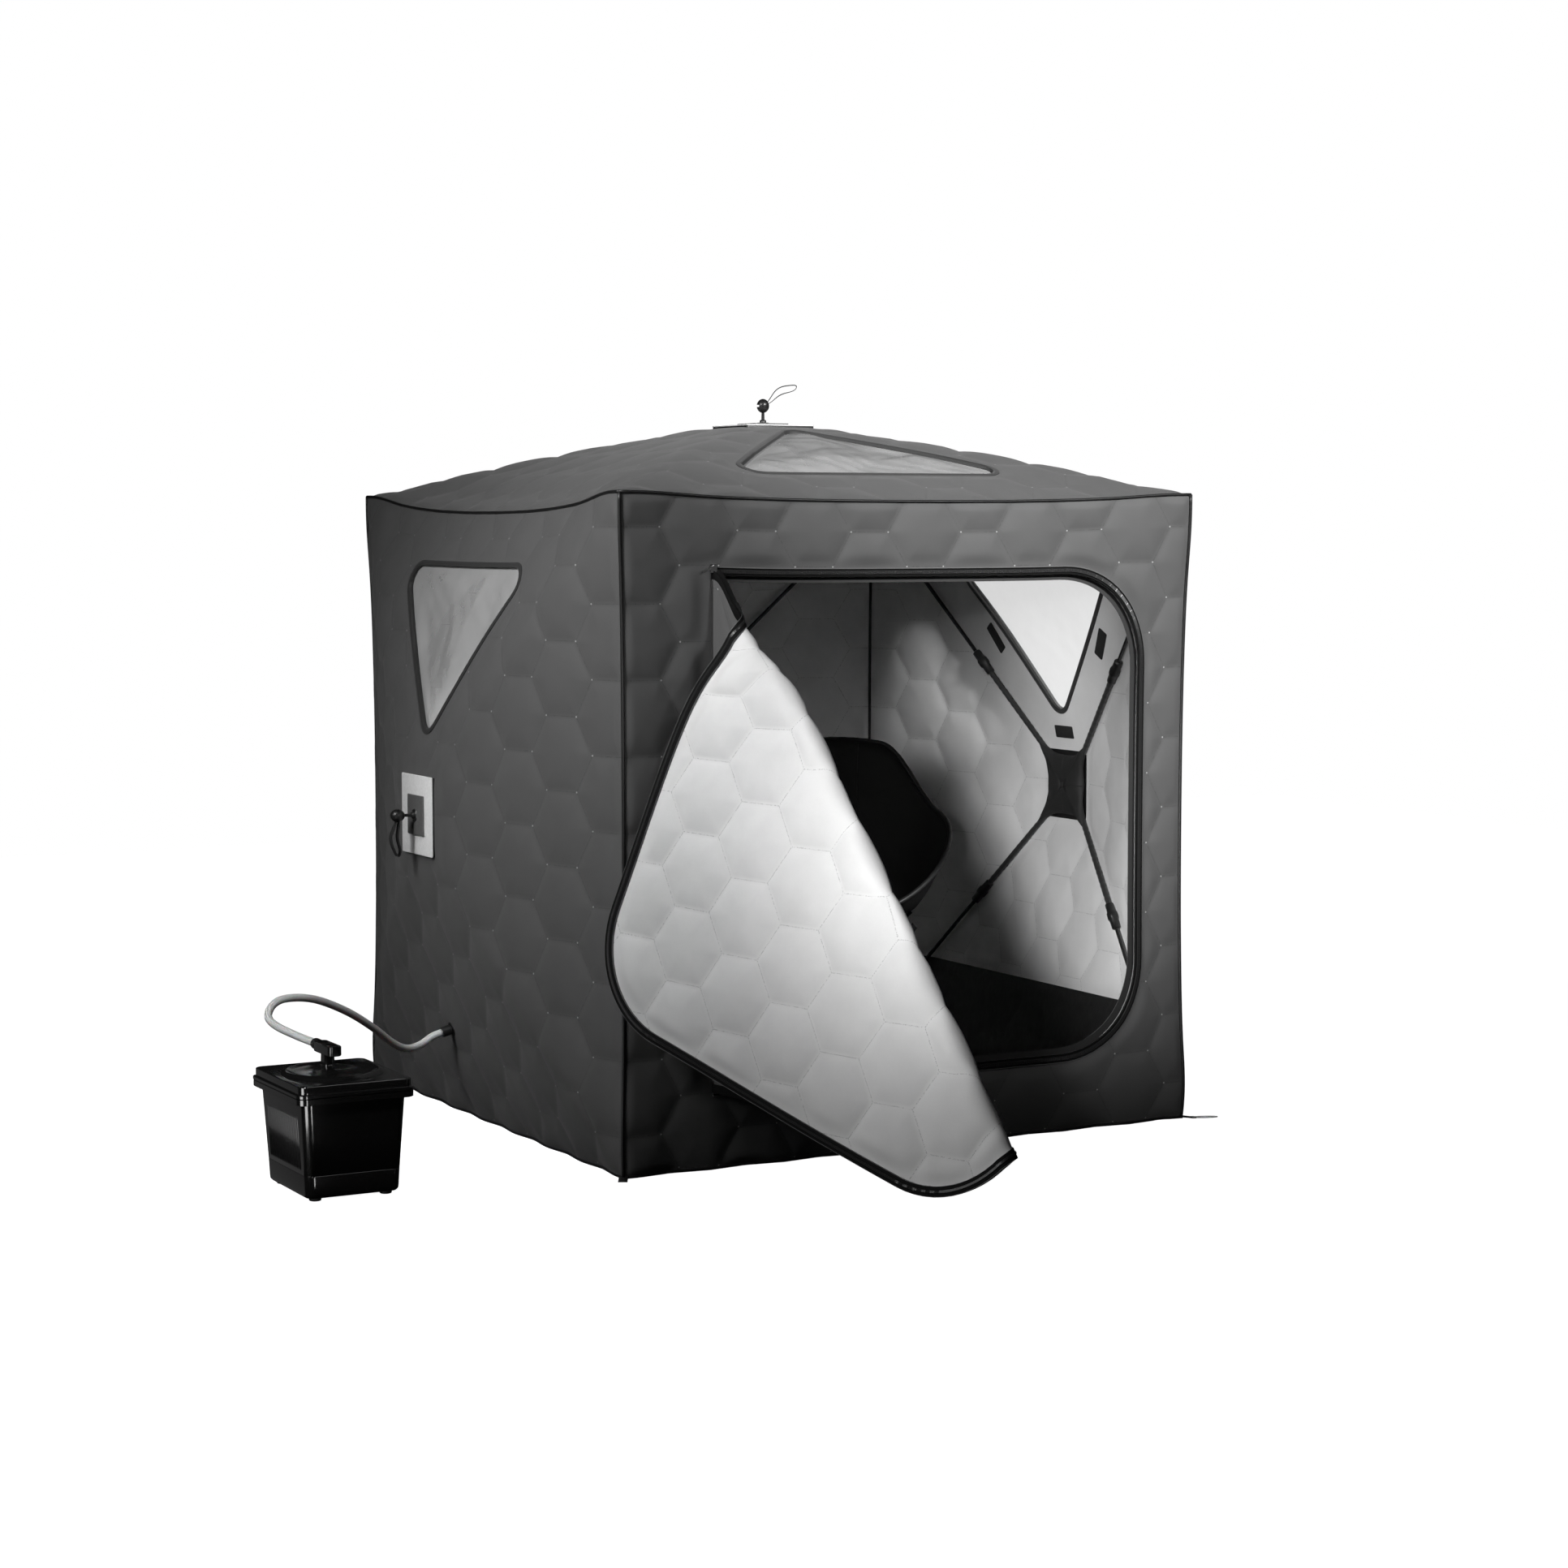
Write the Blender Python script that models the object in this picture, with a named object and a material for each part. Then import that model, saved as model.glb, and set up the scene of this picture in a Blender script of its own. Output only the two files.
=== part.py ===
"""Portable steam sauna: a pop-up fabric cabin with four hub-and-pole faces, a zipped door,
a steamer with its hose, and a folding tub chair inside.

Metres, +Z up. The origin is the centre of the cabin's footprint on the ground. The door is in the
-Y face. Every wall has its own directions: u and v lie in the wall, n points out of the cabin.
"""
import math

import bmesh
import bpy
from mathutils import Matrix, Vector

# ---- cabin ----------------------------------------------------------------------------------
SIDE = 1.60                      # each edge of the cube that the cabin fills
HALF = SIDE / 2
SKIN = 0.012                     # quilted wall, lining included
GAP = 0.0003                     # clearance between touching solids
RISE = 0.178                     # how far a hubbed wall bulges at the edge of its hub plate
HOLE = 0.105                     # half side of the square hole that the hub plate fills
SLOPE = RISE / (HALF - HOLE)     # rise per metre across a facet

WALLS = {                        # outward direction n, then the wall's own u and v
    "left": ((-1, 0, 0), (0, -1, 0), (0, 0, 1)),
    "right": ((1, 0, 0), (0, 1, 0), (0, 0, 1)),
    "back": ((0, 1, 0), (-1, 0, 0), (0, 0, 1)),
    "roof": ((0, 0, 1), (1, 0, 0), (0, 1, 0)),
    "front": ((0, -1, 0), (1, 0, 0), (0, 0, 1)),
    "floor": ((0, 0, -1), (1, 0, 0), (0, -1, 0)),
}
HUBBED = ("left", "right", "back", "roof")

# ---- windows: half width at the wide end, its v, the v of the point, and the corner radius --
SIDE_WINDOW = (0.40, 0.64, 0.19, 0.045)
ROOF_WINDOW = (0.41, 0.61, 0.135, 0.045)
FILM = 0.002                     # clear film
FILM_DEPTH = 0.005               # below the wall's outer face

# ---- door -----------------------------------------------------------------------------------
DOOR_LEFT, DOOR_RIGHT = -0.563, 0.650
DOOR_BOTTOM, DOOR_TOP = 0.200, 1.405
DOOR_RADIUS = 0.230              # the two corners on the zipped side
DOOR_CLEAR = 0.004
FOLD_CLEAR = 0.003
DOOR_OPEN = 79.6                 # degrees between the opened door and the front wall
DOOR_FOLD = 157.6                # degrees the upper half is folded over, onto the outside
FOLD_TOP = (0.133, 1.205)        # the fold crosses the top edge here, from the hinge and the sill
FOLD_FOOT = (1.055, 0.0)         # and the bottom edge here
FOLD_STAND = 0.008               # fold axis in front of the door's outer face

# ---- zip ------------------------------------------------------------------------------------
TAPE_NEAR, TAPE_FAR = 0.002, 0.035
TAPE_THICK = 0.002
SLIDER_SIZE = (0.014, 0.006, 0.020)
SLIDER_X = -0.560
PULLER = (0.034, 0.0016, 0.005)
PULLER_TILT = 22.0

# ---- hub and poles --------------------------------------------------------------------------
POLE_RADIUS = 0.0055
FERRULE_RADIUS = 0.0080
FERRULE_SPAN = (0.36, 0.43)      # along the pole, from its pivot
POLE_SINK = 0.024                # pole axis below the ridge that it holds up
PIVOT_R = 0.080                  # pole pivots, from the hub's centre
TIP_SHORT = 0.070                # the open end of each pole stops short of the cabin's corner
EYE_RADIUS = 0.0075
EYE_WIDTH = 0.012
PIN_RADIUS = 0.003
PIN_PLAY = 0.0004
HUB_HEIGHT = 0.018
HUB_ARM = 0.030
HUB_SLOT = 0.014
HUB_REACH = 0.092
HUB_SLOT_START = 0.066
PLATE_HALF = 0.100
PLATE_THICK = 0.008
INNER_PLATE_HALF = 0.050
INNER_PLATE_THICK = 0.004

# ---- pull straps ----------------------------------------------------------------------------
WASHER = (0.013, 0.003)          # radius, thickness
STEM_RADIUS = 0.004
BALL_RADIUS = 0.016
BALL_STAND = 0.046               # ball centre above the small plate
STRAP_LENGTH = 0.092
STRAP_SPREAD = 0.013             # half width of the loop at its fattest
STRAP_THICK = 0.002
STRAP_WIDTH = 0.020

# ---- steam port and hose --------------------------------------------------------------------
PORT_Y, PORT_Z = 0.046, 0.246
PORT_RADIUS = 0.021
PORT_FLANGE = 0.034
PORT_BORE = 0.0115
HOSE_RADIUS = 0.0095
CUFF_RADIUS = 0.0135
CUFF_LENGTH = 0.0225
CUFF_GAP = 0.0012
HOSE_ROUTE = (                   # from the steamer's outlet to the port in the left wall
    (-1.400, -0.3885, 0.310), (-1.400, -0.364, 0.310), (-1.424, -0.325, 0.321),
    (-1.460, -0.292, 0.341), (-1.474, -0.270, 0.360), (-1.462, -0.257, 0.383),
    (-1.435, -0.248, 0.397), (-1.388, -0.233, 0.397), (-1.336, -0.210, 0.386),
    (-1.278, -0.178, 0.363), (-1.213, -0.140, 0.330), (-1.143, -0.093, 0.286),
    (-1.083, -0.046, 0.243), (-1.043, -0.018, 0.219), (-1.006, 0.006, 0.209),
    (-0.966, 0.029, 0.2135), (-0.933, 0.0425, 0.2275), (-0.9045, 0.046, 0.2355),
)
HOSE_SPACING = 0.020

# ---- steamer --------------------------------------------------------------------------------
STEAMER_X, STEAMER_Y = -1.422, -0.560
FOOT_RADIUS, FOOT_HEIGHT = 0.011, 0.008
FOOT_AT = (0.085, 0.108)
SHELL = 0.003
BASE_LOFT = ((0.226, 0.271, 0.008), (0.230, 0.276, 0.060))
TANK_LOFT = ((0.230, 0.276, 0.0603), (0.250, 0.298, 0.236))
TANK_RIM = (0.268, 0.318, 0.006)
LID_LOFT = ((0.282, 0.330, 0.0003), (0.282, 0.330, 0.016), (0.264, 0.312, 0.032), (0.232, 0.282, 0.040))
CORNER = 0.022                   # plan radius of the steamer's corners
OUTLET = ((-1.417, -0.523, 0.298), (-1.383, -0.414, 0.322))
POST_RADIUS = 0.012
HEATER_RADIUS, HEATER_TUBE, HEATER_Z = 0.062, 0.004, 0.084
INLET = (0.036, 0.012, 0.026)
INLET_PROUD = 0.006
BUTTON = 0.018
BUTTON_DEPTH = 0.010
CONTROL_Z = 0.034

# ---- chair ----------------------------------------------------------------------------------
CHAIR_AT = (0.40, 0.30)
CHAIR_YAW = -28.5                # degrees, the chair looks out past the door
PAN_R, PAN_TOP = 0.190, 0.456    # seat pan
RIM_RX, RIM_RY = 0.293, 0.240    # plan of the tub's inside at its rim
BACK_TOP = 0.916
CHAIR_SHELL = 0.012
RIM_TUBE = 0.008
RIM_CLEAR = 0.006                # rim tube outside the tub
LEG_TUBE = 0.010
LEG_REACH = 0.208                # half the spread of the crossed legs
LEG_FOOT_Z, LEG_TOP_Z = 0.0225, 0.424
LEG_DEPTH_OUTER, LEG_DEPTH_INNER = 0.172, 0.148
PIVOT_ROD = 0.004


# ---- helpers --------------------------------------------------------------------------------
def material(name, colour, roughness, metallic=0.0, alpha=1.0):
    mat = bpy.data.materials.new(name)
    mat.use_nodes = True
    shader = mat.node_tree.nodes["Principled BSDF"]
    shader.inputs["Base Color"].default_value = (*colour, 1.0)
    shader.inputs["Roughness"].default_value = roughness
    shader.inputs["Metallic"].default_value = metallic
    shader.inputs["Alpha"].default_value = alpha
    return mat


def add(name, verts, faces, mat, smooth=None):
    """One closed mesh object; smooth is the sharpest angle, in degrees, that is shaded round."""
    mesh = bpy.data.meshes.new(name)
    mesh.from_pydata([tuple(v) for v in verts], [], faces)
    bm = bmesh.new()
    bm.from_mesh(mesh)
    bmesh.ops.recalc_face_normals(bm, faces=bm.faces)
    bm.to_mesh(mesh)
    bm.free()
    if smooth:
        mesh.shade_smooth()
        mesh.set_sharp_from_angle(angle=math.radians(smooth))
    obj = bpy.data.objects.new(name, mesh)
    obj.data.materials.append(mat)
    bpy.context.collection.objects.link(obj)
    return obj


def rings(name, loops, mat, smooth=None, closed=False):
    """A skin through rings of equal length: capped at both ends, or joined end to end."""
    size = len(loops[0])
    verts = [p for loop in loops for p in loop]
    faces = []
    spans = len(loops) if closed else len(loops) - 1
    for i in range(spans):
        a, b = i * size, (i + 1) % len(loops) * size
        for j in range(size):
            k = (j + 1) % size
            faces.append((a + j, a + k, b + k, b + j))
    if not closed:
        faces.append(tuple(range(size)))
        faces.append(tuple(range((len(loops) - 1) * size, len(loops) * size)))
    return add(name, verts, faces, mat, smooth)


def prism(name, outline, place, near, far, mat, smooth=None):
    """An outline (a, b) extruded from depth near to depth far; place(a, b, depth) gives the point."""
    loops = [[place(a, b, depth) for a, b in outline] for depth in (near, far)]
    return rings(name, loops, mat, smooth)


def box(name, low, high, mat):
    x0, y0, z0 = low
    x1, y1, z1 = high
    outline = [(x0, y0), (x1, y0), (x1, y1), (x0, y1)]
    return prism(name, outline, lambda a, b, c: (a, b, c), z0, z1, mat)


def disc(radius, count, centre=(0.0, 0.0), start=0.0):
    return [(centre[0] + radius * math.cos(start + math.tau * i / count),
             centre[1] + radius * math.sin(start + math.tau * i / count)) for i in range(count)]


def basis(axis):
    """Two unit vectors at right angles to an axis, and the axis."""
    axis = Vector(axis).normalized()
    side = axis.cross(Vector((0, 0, 1)))
    if side.length < 0.1:
        side = axis.cross(Vector((0, 1, 0)))
    side.normalize()
    return side, axis.cross(side), axis


def turned(name, base, axis, profile, count, mat):
    """A profile of (distance along the axis, radius) turned about the axis, closed at both ends."""
    side, lift, along = basis(axis)
    base = Vector(base)
    loops = [[base + along * t + side * a + lift * b for a, b in disc(r, count)] for t, r in profile]
    return rings(name, loops, mat, smooth=40)


def cylinder(name, start, end, radius, mat, count=12):
    start, end = Vector(start), Vector(end)
    return turned(name, start, end - start, [(0, radius), ((end - start).length, radius)], count, mat)


def modify(obj, tool, operation):
    """Boolean the object with a tool, which is kept as a hidden guide."""
    cut = obj.modifiers.new(tool.name, "BOOLEAN")
    cut.operation = operation
    cut.object = tool
    tool.hide_render = True
    tool.display_type = "WIRE"


def rounded(corners, radius, steps):
    """A convex polygon with each corner turned into an arc."""
    points = []
    count = len(corners)
    for i in range(count):
        corner = Vector(corners[i])
        before = (Vector(corners[i - 1]) - corner).normalized()
        after = (Vector(corners[(i + 1) % count]) - corner).normalized()
        half = before.angle(after) / 2
        centre = corner + (before + after).normalized() * radius / math.sin(half)
        first = corner + before * radius / math.tan(half) - centre
        last = corner + after * radius / math.tan(half) - centre
        sweep = first.angle_signed(last)
        for s in range(steps + 1):
            turn = Matrix.Rotation(-sweep * s / steps, 2)
            points.append(tuple(centre + turn @ first))
    return points


def tube(name, points, radius, mat, cyclic=False, sides=2):
    """A round bar or hose along a path."""
    curve = bpy.data.curves.new(name, "CURVE")
    curve.dimensions = "3D"
    curve.bevel_depth = radius
    curve.bevel_resolution = sides
    curve.use_fill_caps = True
    spline = curve.splines.new("POLY")
    spline.points.add(len(points) - 1)
    for target, point in zip(spline.points, points):
        target.co = (*point, 1.0)
    spline.use_cyclic_u = cyclic
    obj = bpy.data.objects.new(name, curve)
    obj.data.materials.append(mat)
    bpy.context.collection.objects.link(obj)
    return obj


def as_mesh(curve_obj):
    """A curve object's surface as a mesh object of the same name, so that it can be cut."""
    name = curve_obj.name
    evaluated = curve_obj.evaluated_get(bpy.context.evaluated_depsgraph_get())
    mesh = bpy.data.meshes.new_from_object(evaluated)
    bpy.data.objects.remove(curve_obj)
    obj = bpy.data.objects.new(name, mesh)
    bpy.context.collection.objects.link(obj)
    return obj


def smooth_path(route, spacing):
    """Points about one spacing apart on a Catmull-Rom curve through the route."""
    knots = [Vector(p) for p in route]
    knots = [2 * knots[0] - knots[1], *knots, 2 * knots[-1] - knots[-2]]
    dense = []
    for a, b, c, d in zip(knots, knots[1:], knots[2:], knots[3:]):
        for s in range(12):
            t = s / 12
            dense.append(0.5 * (2 * b + (c - a) * t + (2 * a - 5 * b + 4 * c - d) * t ** 2
                                + (3 * b - a - 3 * c + d) * t ** 3))
    dense.append(knots[-2])
    length = sum((q - p).length for p, q in zip(dense, dense[1:]))
    count = round(length / spacing)
    points, walked, goal = [dense[0]], 0.0, length / count
    for p, q in zip(dense, dense[1:]):
        step = (q - p).length
        while walked + step >= goal * len(points) and len(points) < count:
            points.append(p.lerp(q, (goal * len(points) - walked) / step))
        walked += step
    points.append(dense[-1])
    return points


# ---- walls ----------------------------------------------------------------------------------
def on_wall(wall):
    """place(u, v, h): a point of a wall, h outward from the cube's face."""
    n, u, v = (Vector(d) for d in WALLS[wall])
    centre = Vector((0, 0, HALF))
    return lambda a, b, h: centre + u * a + v * b + n * (HALF + h)


def square(place, half, h):
    return [place(a, b, h) for a, b in ((-half, -half), (half, -half), (half, half), (-half, half))]


def hubbed_wall(name, wall, mat):
    """A shallow four-sided pyramid of quilted fabric with a square hole for the hub plate."""
    place = on_wall(wall)
    loops = [
        square(place, HALF - GAP, 0.0),
        square(place, HOLE, RISE),
        square(place, HOLE, RISE - SKIN),
        square(place, HALF - SKIN - GAP, -SKIN),
    ]
    return rings(name, loops, mat, closed=True)


def flat_wall(name, wall, mat):
    place = on_wall(wall)
    return rings(name, [square(place, HALF - GAP, 0.0), square(place, HALF - SKIN - GAP, -SKIN)], mat)


def facet(v, h=0.0):
    """Height of the facet above the cube's face at v from the wall's centre line, lowered by h."""
    return SLOPE * (HALF - abs(v)) - h


def window_outline(shape, side, shrink=0.0):
    half, wide, point, radius = shape
    inset = shrink * 2.5
    corners = [(-half + inset, side * (wide - shrink)), (0.0, side * (point + inset)),
               (half - inset, side * (wide - shrink))]
    return rounded(corners if side > 0 else corners[::-1], radius, 5)


def window(name, wall, wall_obj, shape, side, mats):
    """A rounded triangular window: its hole in the wall, and the clear film that fills the hole."""
    place = on_wall(wall)
    outline = window_outline(shape, side)
    hole = prism(name + "_hole", outline, place, -0.05, RISE + 0.05, mats["film"])
    modify(wall_obj, hole, "DIFFERENCE")
    pane = window_outline(shape, side, GAP)
    loops = [[place(a, b, facet(b, depth)) for a, b in pane] for depth in (FILM_DEPTH, FILM_DEPTH + FILM)]
    rings(name, loops, mats["film"])


def door_outline(grow=0.0, steps=7):
    """The door opening seen from outside, anticlockwise, grown or shrunk all round."""
    x0, x1 = DOOR_LEFT - grow, DOOR_RIGHT + grow
    z0, z1 = DOOR_BOTTOM - grow, DOOR_TOP + grow
    radius = DOOR_RADIUS + grow
    points = [(x0, z0)]
    for centre_z, start in ((z0 + radius, -math.pi / 2), (z1 - radius, 0.0)):
        for s in range(steps + 1):
            angle = start + math.pi / 2 * s / steps
            points.append((x1 - radius + radius * math.cos(angle), centre_z + radius * math.sin(angle)))
    points.append((x0, z1))
    return points


def cabin(mats):
    walls = {wall: hubbed_wall(wall + "_wall" if wall != "roof" else "roof_panel", wall, mats["quilt"])
             for wall in HUBBED}
    front = flat_wall("front_wall", "front", mats["quilt"])
    flat_wall("floor_panel", "floor", mats["floor"])
    opening = prism("door_opening", door_outline(), lambda x, z, y: (x, y, z),
                    -HALF - 0.05, -HALF + 0.05, mats["quilt"])
    modify(front, opening, "DIFFERENCE")
    window("left_window", "left", walls["left"], SIDE_WINDOW, 1, mats)
    window("right_window", "right", walls["right"], SIDE_WINDOW, 1, mats)
    window("roof_window", "roof", walls["roof"], ROOF_WINDOW, -1, mats)
    return walls


# ---- door -----------------------------------------------------------------------------------
def clip(points, through, normal, margin):
    """The part of a convex polygon that lies at least margin beyond a line, on the normal's side."""
    def depth(p):
        return (Vector(p) - through).dot(normal) - margin
    kept = []
    for p, q in zip(points, points[1:] + points[:1]):
        a, b = depth(p), depth(q)
        if a >= 0:
            kept.append(p)
        if (a < 0) != (b < 0):
            kept.append(tuple(Vector(p).lerp(Vector(q), a / (a - b))))
    return kept


def door(mats):
    """The zipped door, swung open, with its upper half folded down over the outside."""
    corner = Vector((DOOR_LEFT, DOOR_BOTTOM))
    top, foot = corner + Vector(FOLD_TOP), corner + Vector(FOLD_FOOT)
    along = (foot - top).normalized()
    upward = Vector((-along.y, along.x))
    whole = door_outline(-DOOR_CLEAR)
    lower = clip(whole, top, -upward, FOLD_CLEAR)
    upper = clip(whole, top, upward, FOLD_CLEAR)

    def from_hinge(x, z, y):
        return (x - DOOR_LEFT, y + HALF, z)

    lower_door = prism("door_lower", lower, from_hinge, -HALF, -HALF + SKIN, mats["quilt"])
    lower_door.location = (DOOR_LEFT, -HALF, 0)
    lower_door.rotation_euler = (0, 0, -math.radians(DOOR_OPEN))

    pivot = Vector((top.x - DOOR_LEFT, -FOLD_STAND, top.y))
    axis = Vector((along.x, 0, along.y))

    def from_fold(x, z, y):
        return Vector(from_hinge(x, z, y)) - pivot

    upper_door = prism("door_upper", upper, from_fold, -HALF, -HALF + SKIN, mats["quilt"])
    upper_door.parent = lower_door
    upper_door.rotation_mode = "QUATERNION"
    upper_door.location = pivot
    upper_door.rotation_quaternion = Matrix.Rotation(math.radians(DOOR_FOLD), 3, axis).to_quaternion()


def zipper(mats):
    """Zip tape round the door opening, and the slider with its puller at the start of the zip."""
    inner = door_outline(TAPE_NEAR)
    outer = door_outline(TAPE_FAR)
    start = DOOR_LEFT + TAPE_NEAR
    inner[0] = (start, inner[0][1])
    inner[-1] = (start, inner[-1][1])
    outer[0] = (start, outer[0][1])
    outer[-1] = (start, outer[-1][1])
    face = -HALF - GAP
    prism("zip_track", outer + inner[::-1], lambda x, z, y: (x, y, z), face - TAPE_THICK, face, mats["zip"])

    width, depth, height = SLIDER_SIZE
    z = DOOR_TOP + (TAPE_NEAR + TAPE_FAR) / 2
    y = face - TAPE_THICK - GAP
    slider = box("zip_slider", (SLIDER_X - width / 2, y - depth, z - height / 2),
                 (SLIDER_X + width / 2, y, z + height / 2), mats["metal"])
    length, thick, broad = PULLER
    tilt = math.radians(PULLER_TILT)
    out = Vector((-math.cos(tilt), 0, -math.sin(tilt)))
    up = Vector((-out.z, 0, out.x)) * -1
    root = Vector((SLIDER_X, y - depth - thick / 2 + GAP, z + height / 4))

    def on_puller(a, b, c):
        return root + out * a + up * b + Vector((0, c, 0))

    outline = [(0, -broad / 2), (length, -broad / 2), (length, broad / 2), (0, broad / 2)]
    puller = prism("zip_puller", outline, on_puller, -thick, thick, mats["metal"])
    modify(slider, puller, "UNION")


# ---- hubs and poles -------------------------------------------------------------------------
def ridge(r):
    """Height of a hubbed wall's ridge line at r from the hub's axis, along the diagonal."""
    return SLOPE * (HALF - r / math.sqrt(2))


def hub(wall, mats):
    """Inner hub: a cross with a forked end and a pin for each pole, below the wall's outer plates."""
    place = on_wall(wall)
    middle = ridge(PIVOT_R) - POLE_SINK
    arm, slot = HUB_ARM / 2, HUB_SLOT / 2
    outline = []
    for quarter in range(4):
        turn = Matrix.Rotation(math.radians(45 + 90 * quarter), 2)
        for a, b in ((arm, -arm), (HUB_REACH, -arm), (HUB_REACH, -slot), (HUB_SLOT_START, -slot),
                     (HUB_SLOT_START, slot), (HUB_REACH, slot), (HUB_REACH, arm)):
            outline.append(tuple(turn @ Vector((a, b))))
    body = prism(f"hub_{wall}", outline, place, middle - HUB_HEIGHT / 2, middle + HUB_HEIGHT / 2,
                 mats["plastic"])
    for quarter in range(4):
        turn = Matrix.Rotation(math.radians(45 + 90 * quarter), 2)
        ends = [place(*(turn @ Vector((PIVOT_R, side * (arm - 0.002)))), middle) for side in (-1, 1)]
        modify(body, cylinder(f"hub_{wall}_pin_{quarter}", *ends, PIN_RADIUS, mats["metal"], 10), "UNION")

    plate = prism(f"hub_plate_{wall}", square_outline(PLATE_HALF), place, RISE, RISE + PLATE_THICK,
                  mats["plate"])
    top = RISE + PLATE_THICK + INNER_PLATE_THICK
    small = prism(f"hub_plate_{wall}_centre", square_outline(INNER_PLATE_HALF), place,
                  RISE + PLATE_THICK / 2, top, mats["plate"])
    modify(plate, small, "UNION")
    pull_strap(wall, place, top + GAP, mats)


def square_outline(half):
    return [(-half, -half), (half, -half), (half, half), (-half, half)]


def pull_strap(wall, place, base, mats):
    """Washer, stem and ball of the pull bolt, with the webbing loop that the hand takes."""
    n = Vector(WALLS[wall][0])
    hang = Vector((0.75, -0.40, 0.50)).normalized() if wall == "roof" else Vector((0, 0, -1))
    radius, thick = WASHER
    ball = BALL_STAND
    arc = [(ball + BALL_RADIUS * math.sin(t), BALL_RADIUS * math.cos(t))
           for t in (math.radians(a) for a in (-65, -40, -15, 15, 40, 65))]
    profile = [(0, radius), (thick, radius), (thick, STEM_RADIUS), (arc[0][0], STEM_RADIUS), *arc]
    bolt = turned(f"pull_strap_{wall}", place(0, 0, base), n, profile, 12, mats["strap"])

    centre = place(0, 0, base + ball)
    start = centre + hang * (BALL_RADIUS * 0.6)
    out = (n - hang * n.dot(hang)).normalized()
    across = hang.cross(out)
    loops = []
    steps = 18
    for i in range(steps):
        t = math.tau * i / steps
        drop = STRAP_LENGTH * (1 - math.cos(t)) / 2
        spread = STRAP_SPREAD * math.sin(t) * (0.35 + 0.65 * (1 - math.cos(t)) / 2)
        outward = Vector((math.sin(t), -math.cos(t)))
        point = start + hang * drop + out * spread
        thicken = (out * outward.x + hang * outward.y).normalized() * STRAP_THICK / 2
        broad = across * STRAP_WIDTH / 2
        loops.append([point - thicken - broad, point + thicken - broad,
                      point + thicken + broad, point - thicken + broad])
    modify(bolt, rings(f"pull_strap_{wall}_loop", loops, mats["strap"], closed=True), "UNION")


def pole_mesh(mats):
    """One pole along +X from its pivot at the origin: eye, rod, ferrule, rod. The pivot is along Y."""
    run = HALF * math.sqrt(2) - TIP_SHORT - PIVOT_R
    length = run / math.cos(math.atan(SLOPE / math.sqrt(2)))
    neck = EYE_RADIUS * 1.6
    profile = [(neck, POLE_RADIUS), (FERRULE_SPAN[0], POLE_RADIUS), (FERRULE_SPAN[0], FERRULE_RADIUS),
               (FERRULE_SPAN[1], FERRULE_RADIUS), (FERRULE_SPAN[1], POLE_RADIUS), (length, POLE_RADIUS)]
    rod = turned("pole_rod", (0, 0, 0), (1, 0, 0), profile, 8, mats["pole"])
    arc = [(EYE_RADIUS * math.cos(t), EYE_RADIUS * math.sin(t))
           for t in (math.radians(a) for a in range(90, 271, 30))]
    outline = [*arc, (neck + 0.002, -EYE_RADIUS * 0.6), (neck + 0.002, EYE_RADIUS * 0.6)]
    eye = prism("pole_eye", outline, lambda a, b, c: (a, c, b), -EYE_WIDTH / 2, EYE_WIDTH / 2, mats["pole"])
    bore = cylinder("pole_bore", (0, -0.02, 0), (0, 0.02, 0), PIN_RADIUS + PIN_PLAY, mats["pole"], 12)
    modify(rod, eye, "UNION")
    modify(rod, bore, "DIFFERENCE")
    rod.hide_render = True
    rod.display_type = "WIRE"
    evaluated = rod.evaluated_get(bpy.context.evaluated_depsgraph_get())
    return bpy.data.meshes.new_from_object(evaluated)


def poles(mats):
    """Four poles for each hub, one to each corner of its wall."""
    mesh = pole_mesh(mats)
    pitch = math.atan(SLOPE / math.sqrt(2))
    for wall in HUBBED:
        n, u, v = (Vector(d) for d in WALLS[wall])
        place = on_wall(wall)
        for quarter in range(4):
            angle = math.radians(45 + 90 * quarter)
            toward = u * math.cos(angle) + v * math.sin(angle)
            along = toward * math.cos(pitch) - n * math.sin(pitch)
            hinge = toward.cross(n)
            up = along.cross(hinge)
            pole = bpy.data.objects.new(f"pole_{wall}_{quarter + 1}", mesh)
            bpy.context.collection.objects.link(pole)
            pivot = place(PIVOT_R * math.cos(angle), PIVOT_R * math.sin(angle), ridge(PIVOT_R) - POLE_SINK)
            pole.matrix_world = Matrix.Translation(pivot) @ Matrix((along, hinge, up)).transposed().to_4x4()


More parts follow.
